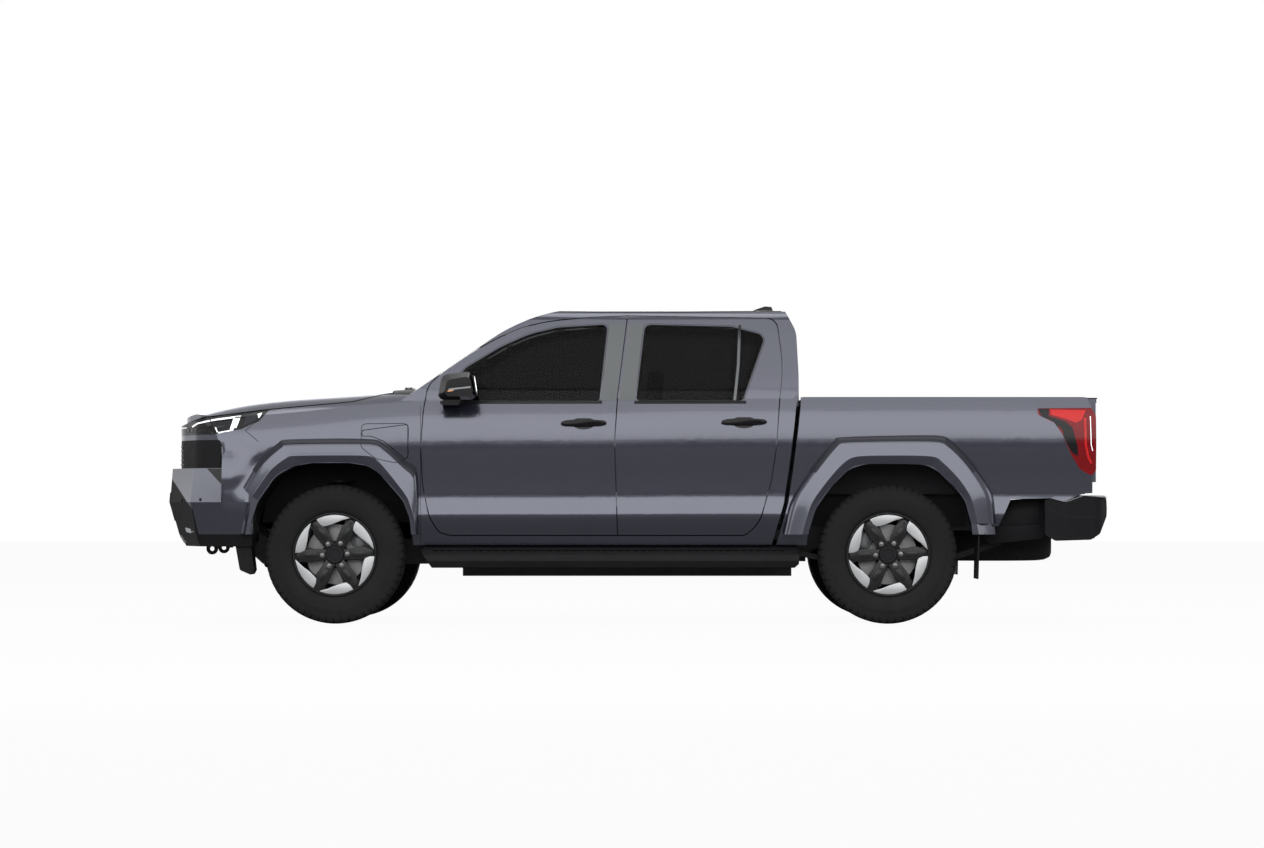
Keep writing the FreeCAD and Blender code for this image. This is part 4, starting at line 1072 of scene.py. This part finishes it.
for name, x0, x1, z in (("front", -402, -134, 1122), ("rear", 492, 760, 1128)):
    bar, cup_shade = handle(x0, x1, z, name + "_door_left")
    doors = ("door_%s_left" % name, "door_%s_right" % name)
    pair(name + "_handle", bar, gloss_black, *doors)
    # the cup's dark patch is painted shade
    pair(name + "_handle_cup_shade", cup_shade, lamp_black, *doors)
    print("handle:", name, "%.0f mm long" % (x1 - x0))

# %% [markdown]
# The door mirror is a gloss black shell from the model. It gets a silvered glass facing back with a
# dark frame, and a grey stripe with an indicator across its face.

# %% Mirrors
MIRROR_TURN = -9
MIRROR_FOOT = (-862, -1000, 1256)
pane = rounded([(-1066, 1268, 22), (-1058, 1382, 26), (-940, 1380, 22), (-934, 1268, 20)])
mirror_rim = front_plate(pane, -862, -852, soft=3)
mirror_pane = front_plate([(-1000 + (y + 1000) * 0.93, 1325 + (z - 1325) * 0.92) for y, z in pane],
                          -853, -849.5, soft=0.8)
for bm in (mirror_rim, mirror_pane):
    turned(bm, MIRROR_TURN, MIRROR_FOOT)
pair("mirror_frame", mirror_rim, satin_black, *FRONT_DOORS)
pair("mirror_glass", mirror_pane, mirror_silver, *FRONT_DOORS)
pair("mirror_stripe", band("side", [(-1050, 1296), (-1010, 1303), (-890, 1316)], 9, ["mirror_left"],
                           proud=1, thick=2.5, fallback=-1080), caliper_grey, *FRONT_DOORS)
pair("mirror_signal", band("side", [(-1048, 1288), (-985, 1298)], 6, ["mirror_left"], proud=1.2,
                           thick=2, fallback=-1080), lamp_amber, *FRONT_DOORS)
print("mirrors done")

# %% [markdown]
# A modern headlamp is a black box of small lenses with one white light guide that gives it a face
# by day. Here the guide runs along the top edge and hooks down behind the lens cells, and the same
# line carries on across the nose as a thin bar.

# %% Headlamps and nose bar
LAMP_SKIN = ["headlamps"]
housing = sheet("side", [(-2486, 1060), (-2482, 1112), (-2420, 1140), (-2200, 1164), (-2060, 1184),
                         (-2092, 1136), (-2180, 1092), (-2340, 1062)], LAMP_SKIN, proud=0.6, thick=0.8,
                fallback=-800, cuts=5)
pair("lamp_housing", housing, lamp_black)
guide = band("side", [(-2478, 1104), (-2440, 1122), (-2330, 1142), (-2222, 1156)], 9, LAMP_SKIN, proud=1.8,
             thick=1.5, fallback=-800, step=12)
add(guide, sheet("side", [(-2224, 1161), (-2186, 1164), (-2215, 1078), (-2310, 1062), (-2312, 1071),
                          (-2247, 1082)], LAMP_SKIN, proud=2, thick=1.5, fallback=-800, cuts=4))
add(guide, band("side", [(-2328, 1098), (-2316, 1072)], 6, LAMP_SKIN, proud=1.9, thick=1.2, fallback=-800))
pair("day_light", guide, lamp_white)
cells, bowls = bmesh.new(), bmesh.new()
for corners in ([(-2458, 1082), (-2376, 1096), (-2384, 1076), (-2440, 1068)],
                [(-2350, 1106), (-2262, 1118), (-2280, 1096), (-2330, 1090)]):
    ring = rounded([(x, z, 7) for x, z in corners])
    add(cells, band("side", ring, 4, LAMP_SKIN, proud=1.6, thick=1.5, fallback=-800, closed=True, step=8))
    add(bowls, sheet("side", ring, LAMP_SKIN, proud=1.1, thick=0.8, fallback=-800, cuts=2))
for u in (-700, -640, -580):
    ring = rounded_box(u - 22, u + 22, 1074, 1096, 8)
    add(cells, band("front", ring, 3, LAMP_SKIN, proud=1.6, thick=2, fallback=-2450, closed=True, step=8))
    add(bowls, sheet("front", ring, LAMP_SKIN, proud=0.8, thick=1, fallback=-2450, cuts=1))
pair("lens_frames", cells, satin_black)
pair("lens_cells", bowls, screen_glass)
# the side lens takes the dark grey of the painted crease shade
pair("lamp_side_lens", sheet("side", [(-2170, 1108), (-2158, 1160), (-2086, 1172), (-2102, 1142)],
                             LAMP_SKIN, proud=1.0, thick=0.8, fallback=-820), flare_crease_shade)
pair("lamp_corner", sheet("side", [(-2086, 1150), (-2094, 1172), (-2070, 1180), (-2076, 1160)],
                          LAMP_SKIN, proud=1.4, thick=0.8, fallback=-820, cuts=1), reflector)
light_line = [(y, 1100) for y in range(-560, 561, 20)]
piece("nose_light_bar", band("front", light_line, 5, LAMP_SKIN, proud=1.2, thick=2, fallback=-2500),
      lamp_white)
dark_line = [(y, 1084) for y in range(-556, 557, 20)]
piece("nose_dark_bar", band("front", dark_line, 22, LAMP_SKIN, proud=0.8, thick=1.5, fallback=-2500),
      lamp_black)
print("headlamps done")

# %% [markdown]
# Below the lamps the nose is a black panel with slats. Lower down come an air intake with a mesh of
# bars, two small fog lamps, parking sensors and a grey skid lip.

# %% Grille, intake and bumper details
NOSE = ["grille", "front_bumper"]
slats = bmesh.new()
for k, z in enumerate((892, 918, 944, 970, 996)):
    reach = 530 - 8 * k
    add(slats, band("front", [(y, z) for y in range(-reach, reach + 1, 35)], 9, NOSE, proud=3, thick=4,
                    fallback=-2500))
piece("nose_slats", slats, satin_black)
mesh_bars = bmesh.new()
for z in (585, 620, 655, 690, 725):
    add(mesh_bars, band("front", [(y, z) for y in range(-420, 421, 35)], 6, NOSE, proud=5, thick=6,
                        fallback=-2600))
for y in range(-420, 421, 60):
    add(mesh_bars, band("front", [(y - 12, 575), (y + 12, 655), (y - 12, 735)], 6, NOSE, proud=5, thick=6,
                        fallback=-2600))
for v in mesh_bars.verts:  # the nose is the truck's foremost point, so the bars stop there
    v.co.x = max(v.co.x, cad_box[0][0])
piece("intake_mesh", mesh_bars, satin_black)
piece("skid_lip", band("front", [(y, 470) for y in range(-470, 471, 35)], 42, NOSE, proud=4, thick=6,
                       fallback=-2580), caliper_grey)
fog = band("side", [(-2482, 512), (-2456, 516)], 3.5, NOSE, proud=1, thick=1.5, fallback=-780, step=8)
pair("fog_dash", fog, reflector)
fog_front = sheet("front", rounded([(-700, 505, 8), (-700, 530, 8), (-600, 538, 8), (-600, 512, 8)]), NOSE,
                  proud=2, thick=3, fallback=-2500, cuts=1)
pair("fog_lens", fog_front, reflector)
sensors = bmesh.new()
for y, z in ((-640, 690), (-300, 800)):
    dot = spun([(0, 0), (0, 9), (4, 9), (5, 7), (5, 0)], 20)
    turned(dot, 90, (0, 0, 0), "Z")
    x = min(ray_to(n, (-3500, y, z), (1, 0, 0), 0) for n in NOSE)  # a miss counts as far behind
    add(sensors, moved(dot, (x + 1, y, z)))
pair("nose_sensors", sensors, satin_black)
side_dot = spun([(0, 0), (0, 9), (-3, 9), (-4, 7), (-4, 0)], 20)
SIDE_SENSOR = (-2410, 694)
y = skin_y(NOSE, *SIDE_SENSOR)
pair("side_sensor", moved(side_dot, (SIDE_SENSOR[0], y / MM if y else -850, SIDE_SENSOR[1])), satin_black)
print("nose details done")

# %% [markdown]
# The charge lid is cut round by a shut line that also crosses the arch flare, where the model keeps
# one solid. A dark hairline laid on the skin completes the rounded square.

# %% Charge lid line
LID_SKIN = ["front_wing_left", "charge_flap", "front_flare_skin_left", "front_flare_seal_left"]
lid_line = rounded([(-1508, 1117, 30), (-1246, 1119, 30), (-1244, 935, 40), (-1300, 896, 60),
                    (-1420, 920, 60), (-1508, 985, 50)])
piece("charge_lid_line", band("side", lid_line, 3.5, LID_SKIN, proud=0.4, thick=0.8, fallback=-888,
                              closed=True, step=10), seal_rubber)
print("lid line:", len(lid_line), "points")

# %% [markdown]
# The rear lamp wraps round the corner. A dark wedge leads the red lens, brighter red guides follow
# its top and back edges, and one pale line glows near the corner.

# %% Rear lamps
TAIL_SKIN = ["tail_lamps"]
wedge = [(2271, 1202), (2332, 1203), (2326, 1160), (2417, 1131), (2458, 1098), (2487, 991), (2490, 935),
         (2452, 960), (2406, 1052), (2362, 1118), (2288, 1158)]
pair("tail_wedge", sheet("side", wedge, TAIL_SKIN, proud=0.9, thick=1.4, fallback=-850), lamp_black)
pair("tail_glow", sheet("side", [(2334, 1197), (2536, 1194), (2512, 1140), (2480, 1122), (2430, 1142),
                                 (2340, 1168)], TAIL_SKIN, proud=1.2, thick=1.4, fallback=-850),
     lamp_red_bright)
pair("tail_guide", band("side", [(2530, 1150), (2533, 1000), (2548, 930), (2566, 896)], 12, TAIL_SKIN,
                        proud=1.6, thick=2, fallback=-840, step=12), lamp_red_bright)
pair("tail_line", band("side", [(2560, 1160), (2563, 1000), (2572, 965)], 4, TAIL_SKIN, proud=2, thick=2,
                       fallback=-830, step=12), lamp_white)
rear_cells = bmesh.new()
for z in (870, 960, 1050, 1140):
    add(rear_cells, sheet("rear", rounded_box(-838, -788, z - 34, z + 34, 8), TAIL_SKIN, proud=1, thick=2,
                          fallback=2590, cuts=1))
pair("tail_rear_cells", rear_cells, lamp_red_bright)
print("rear lamps done")

# %% [markdown]
# The tailgate carries a pull handle in its recess, a camera, a thin red bar between the lamps and a
# black cap on its top edge, and the bumper has tread pads, sensors and reflectors.

# %% Tailgate and rear bumper
gate_grip = block(2584, 2597, -86, 86, 1142, 1178, soft=6, segments=3)
piece("gate_handle", gate_grip, gloss_black, "rear_gate")
piece("gate_cup", block(2570, 2574, -116, 116, 1123, 1182, soft=1), lamp_black, "rear_gate")
piece("gate_camera", block(2580, 2592, -12, 12, 1126, 1138, soft=4), screen_glass, "rear_gate")
piece("gate_light_bar", block(2598, 2603, -600, 600, 1206, 1213, soft=1.5), lamp_red_bright, "rear_gate")
piece("gate_cap", block(2549, 2612, -738, 738, 1258, 1265.5, soft=3), black_plastic, "rear_gate")
ribs = bmesh.new()
for k in range(3):
    add(ribs, block(2586.5, 2590, -600 + 8 * k, 600 - 8 * k, 880 + 55 * k, 886 + 55 * k, soft=1.5))
piece("gate_ribs", ribs, paint, "rear_gate")
pads = bmesh.new()
for k in range(9):
    for row in range(3):
        for s in (-1, 1):
            y = s * (360 + 44 * k)
            add(pads, block(2592 + 14 * row, 2600 + 14 * row, y - 17, y + 17, 702, 709 - row, soft=1.5))
piece("bumper_step_pads", pads, satin_black)
reflectors = sheet("rear", rounded_box(-760, -640, 560, 582, 6), ["rear_bumper"], proud=1.5, thick=3,
                   fallback=2650, cuts=1)
pair("bumper_reflectors", reflectors, lamp_red)
rear_eyes = bmesh.new()
for y in (-560, -190):
    dot = turned(spun([(0, 0), (0, 9), (3, 9), (4, 7), (4, 0)], 20), -90, (0, 0, 0), "Z")
    x = ray_to("rear_bumper", (3500, y, 615), (-1, 0, 0), 2655)
    add(rear_eyes, moved(dot, (x - 1, y, 615)))
pair("rear_sensors", rear_eyes, satin_black)
piece("bumper_lip", block(2585, 2640, -330, 330, 474, 480, soft=2), caliper_grey)
print("tailgate and bumper done")

# %% [markdown]
# Between the rear wheel and the bumper a black panel closes the view to the frame, and the bumper's
# top is a moulded step. Both are plain extrusions with softened edges.

# %% Rear closing panels and bumper step
shield = side_plate([(1968, 552), (2028, 560), (2142, 690), (2330, 702), (2330, 560), (2306, 476),
                     (2010, 446), (1972, 470)], -742, -738, soft=1)
add(shield, side_plate([(2040, 545), (2110, 640), (2290, 668), (2290, 560)], -748, -740, soft=3))
pair("rear_closing", shield, black_plastic)
pair("bumper_top", side_plate([(2420, 682), (2522, 719), (2636, 717), (2652, 704), (2522, 712),
                               (2420, 678)], -866, -600, soft=1.5), caliper_grey)
piece("bumper_middle", side_plate([(2575, 712), (2585, 716), (2634, 715), (2650, 704), (2575, 704)], -600,
                                  600, soft=1.5), black_plastic)
pair("bumper_side_line", band("side", [(2330, 640), (2420, 600), (2560, 596), (2640, 612)], 5,
                              ["rear_bumper"], proud=0.8, thick=2, fallback=-880), satin_black)
print("rear panels done")

# %% [markdown]
# The cabin shows through the windscreen and when a door stands open. The dash carries two screens,
# four vents and a glove box line, and the wheel gets a pad with spoke buttons. The pad stands along
# the steering column, whose direction is written once as a vector.

# %% Dash and steering wheel
VIEWS["inner"] = (lambda u, v, d: (u, d, v), 1, -1)  # from the middle of the cabin out to the left
DASH = ["dashboard"]
HUB = Vector((-690, -370, 1110))
COLUMN = Vector((-0.9, 0, -0.436))
LOWER_SPOKE = Vector((-60, 0, -152)) * 0.98
pad = rod(HUB + COLUMN * 12, HUB - COLUMN * 26, 66, 40, soft=9, tip=58)
add(pad, rod(HUB + COLUMN * 8, HUB + COLUMN * 8 + LOWER_SPOKE, 15, 16, soft=4))
piece("wheel_pad", pad, seat_trim)
buttons = bmesh.new()
for s in (-1, 1):
    for k in range(3):
        key = block(-700, -678, -8, 8, -8, 8, soft=2)
        add(buttons, moved(key, (10 - 5 * k, HUB.y + s * 98, 1094 + 14 * k)))
piece("wheel_buttons", buttons, gloss_black)
CLUSTER_LEAN = (-14, (-900, 0, 1200))
SCREEN_LEAN = (-10, (-870, 0, 1120))
hood = block(-960, -880, -520, -220, 1172, 1262, soft=14, segments=4)
piece("cluster_hood", turned(hood, *CLUSTER_LEAN), seat_trim)
face = block(-884, -876, -500, -240, 1186, 1250, soft=3)
piece("cluster_screen", turned(face, *CLUSTER_LEAN), screen_glass)
tablet = block(-872, -856, -150, 170, 1122, 1318, soft=6, segments=3)
piece("centre_screen", turned(tablet, *SCREEN_LEAN), satin_black)
glass_face = block(-857, -853, -140, 160, 1132, 1308, soft=1.5)
piece("centre_screen_glass", turned(glass_face, *SCREEN_LEAN), screen_glass)
vents, vent_rims = bmesh.new(), bmesh.new()
for middle in (-600, -190, 210, 600):
    ring = rounded_box(middle - 58, middle + 58, 1082, 1122, 10)
    add(vent_rims, band("rear", ring, 7, DASH, proud=4, thick=6, fallback=-815, closed=True, step=10))
    for z in (1090, 1098, 1106, 1114):
        add(vents, band("rear", [(middle - 52, z), (middle + 52, z)], 3, DASH, proud=2.5, thick=3,
                        fallback=-815, step=20))
piece("vent_rims", vent_rims, gloss_black)
piece("vent_vanes", vents, satin_black)
glove = rounded_box(230, 620, 900, 1040, 20)
piece("glove_box_line", band("rear", glove, 3, DASH, proud=0.5, thick=1, fallback=-820, closed=True),
      seal_rubber)
print("dash dressed")

# %% [markdown]
# A console with a tray, two cup rings and a drive selector fills the space between the seats, and
# two pedals hang under the dash. Their outlines are drawn in side view, where a console shows its
# shape, and pushed across the cabin.

# %% Console, selector and pedals
console = side_plate(rounded([(-860, 520), (-900, 930, 40), (-790, 900, 60), (-640, 770, 80),
                              (-330, 742, 20), (-320, 812, 30), (30, 812, 30), (40, 520)]), -104, 104,
                     soft=14, segments=4)
piece("console", console, seat_trim)
tray = block(-610, -360, -74, 74, 752, 766, soft=5)
piece("console_tray", turned(tray, 5, (-480, 0, 758)), gloss_black)
cups = bmesh.new()
for x in (-440, -545):
    add(cups, turned(spun([(0, 30), (0, 37), (7, 37), (7, 30)], 32), -90, (0, 0, 0), "X"))
    bmesh.ops.translate(cups, vec=at(105 if x == -440 else 0, 0, 0), verts=cups.verts)
moved(cups, (-545, -34, 765))
piece("cup_rings", cups, bright_steel)
knob = rod((-520, 40, 762), (-528, 40, 806), 9, 20)
add(knob, rod((-526, 40, 798), (-534, 40, 832), 17, 24, soft=6, tip=21))
piece("drive_selector", knob, satin_black)
pedals = bmesh.new()
for y0, y1, z in ((-330, -270, 600), (-440, -370, 620)):
    add(pedals, turned(block(-1092, -1080, y0, y1, z - 45, z + 45, soft=4), 24, (-1086, 0, z)))
    add(pedals, rod((-1090, (y0 + y1) / 2, z + 20), (-1170, (y0 + y1) / 2, z + 150), 8, 14))
piece("pedals", pedals, satin_black)
print("console dressed")

# %% [markdown]
# Seat covers are stitched from a flat centre and fat bolsters. The solids give the block of each
# seat, and rounded tubes along its edges, swelling out of the block, give the bolsters.

# %% Seat bolsters, buckles and seams
bolsters, seams, buckles = bmesh.new(), bmesh.new(), bmesh.new()
for y in (-588, -152):
    add(bolsters, tube([(-440, y, 678), (-300, y, 690), (-120, y, 678), (-10, y, 672), (12, y, 760),
                        (40, y, 1000), (70, y, 1190)], 34))
for z in (780, 900, 1020, 1140):
    x = 14 + (z - 668) * 0.097
    add(seams, block(x - 9, x - 5, -552, -188, z - 2, z + 2, soft=1))
for x in (-400, -290, -180, -70):
    z = 703 - (x + 495) * 0.075
    add(seams, block(x - 2, x + 2, -552, -188, z - 1, z + 2.5, soft=1))
add(buckles, turned(block(-30, 10, -114, -106, 660, 745, soft=4), -15, (-10, 0, 700)))
piece("seat_bolsters", both(bolsters), seat_trim)
piece("seat_seams", both(seams), seal_rubber)
piece("belt_buckles", both(buckles), satin_black)
rear_bolsters = bmesh.new()
for y in (-604, -36, 36, 604):
    add(rear_bolsters, tube([(500, y, 676), (600, y, 672), (690, y, 676), (716, y, 820), (738, y, 1000),
                             (758, y, 1180)], 26))
piece("bench_bolsters", rear_bolsters, seat_trim)
print("seats dressed")

# %% [markdown]
# Inside, each door has an armrest with a pull, a latch lever and a round speaker. A ray from the
# middle of the cabin finds the inner face of the door, so every piece sits on it and swings with it.

# %% Inner door trim
CARDS = {
    "front": [(-1085, 640, 40), (-1085, 1180, 30), (-190, 1188, 30), (-190, 530, 50), (-1000, 530, 80)],
    "rear": [(-10, 530, 50), (-10, 1188, 30), (640, 1188, 30), (655, 900, 60), (600, 660, 60),
             (470, 530, 50)],
}
INNER_Y = -820  # about where a door's inner face is, for a ray that misses
for end, x0, x1, speaker in (("front", -900, -330, -920), ("rear", 90, 560, 160)):
    door_name = end + "_door_left"
    rides = ("door_%s_left" % end, "door_%s_right" % end)
    pair(end + "_door_card", sheet("inner", rounded(CARDS[end]), [door_name], proud=1.5, thick=2.5,
                                   fallback=INNER_Y, cuts=4), seat_trim, *rides)
    y = ray_to(door_name, ((x0 + x1) / 2, 0, 960), (0, -1, 0), INNER_Y)
    rest = block(x0, x1, y - 3, y + 52, 930, 968, soft=12, segments=4)
    add(rest, block(x0 + 60, x1 - 120, y - 3, y + 16, 990, 1120, soft=8, segments=3))
    pair(end + "_armrest", rest, seat_trim, *rides)
    lever = block(x1 - 100, x1 - 30, y - 3, y + 14, 1036, 1062, soft=5, segments=3)
    pair(end + "_latch_lever", lever, bright_steel, *rides)
    y = ray_to(door_name, (speaker, 0, 680), (0, -1, 0), INNER_Y)
    grille = moved(spun([(0, 0), (0, 74), (6, 74), (8, 68), (6, 0)], 48), (speaker, y - 1, 680))
    pair(end + "_speaker", grille, satin_black, *rides)
    keys = bmesh.new()
    for k in range(2):
        add(keys, block(x0 + 110 + 46 * k, x0 + 146 + 46 * k, y + 14, y + 44, 966, 973, soft=2.5))
    pair(end + "_window_keys", keys, gloss_black, *rides)
    print("door trim:", end)

# %% [markdown]
# A mirror hangs from the top of the windscreen, and two visors and a lamp sit under the roof. Rays
# fired up from inside the cabin give the height that each one hangs from.

# %% Cabin mirror, visors and lamp
UP = (0, 0, 1)
glass_z = ray_to("windscreen", (-735, 0, 1300), UP, 1640)
mirror = block(-722, -704, -118, 118, glass_z - 108, glass_z - 44, soft=8, segments=3)
add(mirror, rod((-716, 0, glass_z - 70), (-738, 0, glass_z - 1), 9, 16))
piece("cabin_mirror", mirror, satin_black)
piece("cabin_mirror_glass", block(-705, -702, -110, 110, glass_z - 102, glass_z - 50, soft=1),
      mirror_silver)
visors = bmesh.new()
for s in (-1, 1):
    z = ray_to("roof_panel", (-560, s * 360, 1400), UP, 1735) - 16
    add(visors, block(-600, -470, s * 360 - 165, s * 360 + 165, z - 6, z + 8, soft=5))
piece("sun_visors", visors, seat_trim)
z = ray_to("roof_panel", (-330, 0, 1400), UP, 1740)
piece("cabin_lamp", block(-380, -290, -50, 50, z - 12, z + 2, soft=4), lens_clear)
print("cabin done")

# %% [markdown]
# Outside, small parts finish the top. Two wipers rest on the base of the screen, each a blade and an
# arm laid on the glass from above with a cap on its pivot, and mouldings cover the roof seams.

# %% Wipers and roof mouldings
DOWN = (0, 0, -1)
SCREEN_SKIN = ["windscreen", "cowl"]
wipers = bmesh.new()
for pivot, elbow, blade in (((-1302, -40), (-1262, -330), ((-1230, -90), (-1250, -590))),
                            ((-1300, 560), (-1264, 280), ((-1235, 500), (-1262, 40)))):
    add(wipers, band("top", blade, 11, SCREEN_SKIN, proud=9, thick=10, fallback=1330, step=30))
    add(wipers, band("top", (pivot, elbow), 15, SCREEN_SKIN, proud=18, thick=7, fallback=1330, step=30))
    z = ray_to("cowl", (*pivot, 3000), DOWN, 1320)
    add(wipers, rod((*pivot, z - 2), (*pivot, z + 20), 15, 24, soft=4, tip=12))
piece("wipers", wipers, satin_black)
roof_strips = band("top", [(-590, -600), (-200, -612), (300, -612), (846, -600)], 15,
                   ["roof_panel", "cab_side_left", "windscreen"], proud=1.2, thick=2, fallback=1750)
piece("roof_mouldings", both(roof_strips), seal_rubber)
print("wipers and mouldings done")

# %% [markdown]
# The load bed has black caps on its rails and lashing rings on its walls, and the running boards
# have a row of grip ribs. Rays place each ring on the wall and each rib on the board's top.

# %% Bed caps, lashing rings and board grips
rail = band("top", [(960, -776), (1700, -780), (2530, -770)], 46, ["bed_side_left", "bed_tub"], proud=2,
            thick=3, fallback=1262, step=40)
piece("rail_caps", both(rail), black_plastic)
rings = bmesh.new()
for x in (1080, 2440):
    y = ray_to("bed_tub", (x, 0, 1120), (0, -1, 0), -730)
    hoop = [(x + 22 * math.cos(a), y + 4 + 16 * max(0, -math.sin(a)), 1120 + 24 * math.sin(a))
            for a in (k * math.tau / 20 for k in range(20))]
    add(rings, tube(hoop, 4.5, closed=True))
    add(rings, block(x - 26, x + 26, y - 2, y + 5, 1106, 1134, soft=3))
piece("lashing_rings", both(rings), satin_black)
GRIPS, GRIP_FROM, GRIP_STEP = 46, -1110, 43
grips = bmesh.new()
for k in range(GRIPS):
    x = GRIP_FROM + GRIP_STEP * k
    z = ray_to("running_boards", (x, -840, 700), DOWN, None)
    if z is not None:
        add(grips, block(x, x + 26, -868, -812, z - 3, z + 2.5, soft=1.5, segments=1))
piece("board_grips", both(grips), satin_black)
print("bed and boards done")

# %% [markdown]
# Behind each front wheel a coil spring stands round a damper, and a plain damper leans beside the
# rear axle. The coil is a small circle spun six turns while it climbs, which the spin operator does
# in one call when it is given a way to climb at each step.

# %% Springs and dampers
def coil(x, y, z, radius, wire, turns, climb, steps=24):
    """A wire of one radius wound round a line straight up through x, y, z."""
    bm = bmesh.new()
    bmesh.ops.create_circle(bm, segments=8, radius=wire * MM)
    turned(bm, 90, (0, 0, 0), "X")
    moved(bm, (radius, 0, 0))
    bmesh.ops.spin(bm, geom=bm.verts[:] + bm.edges[:], cent=(0, 0, 0), axis=(0, 0, 1),
                   dvec=(0, 0, climb * MM / (turns * steps)), angle=math.tau * turns, steps=turns * steps)
    bmesh.ops.holes_fill(bm, edges=[e for e in bm.edges if e.is_boundary])
    return moved(bm, (x, y, z))


STRUT_Y = -520
# damper body, its rod, and the spring's lower and upper seat: from z, to z, radius, segments, soft
STRUT = [(262, 600, 26, 24, 3), (590, 800, 13, 20, 0), (470, 480, 62, 32, 2), (792, 806, 66, 32, 2)]
struts = bmesh.new()
for z0, z1, radius, segments, soft in STRUT:
    add(struts, rod((FRONT_X, STRUT_Y, z0), (FRONT_X, STRUT_Y, z1), radius, segments, soft=soft))
add(struts, rod((1395, -500, 420), (1290, -470, 640), 24, 24, soft=3))
piece("dampers", both(struts), frame_steel)
piece("coil_springs", both(coil(FRONT_X, STRUT_Y, 488, 52, 7, 6, 296)), satin_black)
print("underbody done")
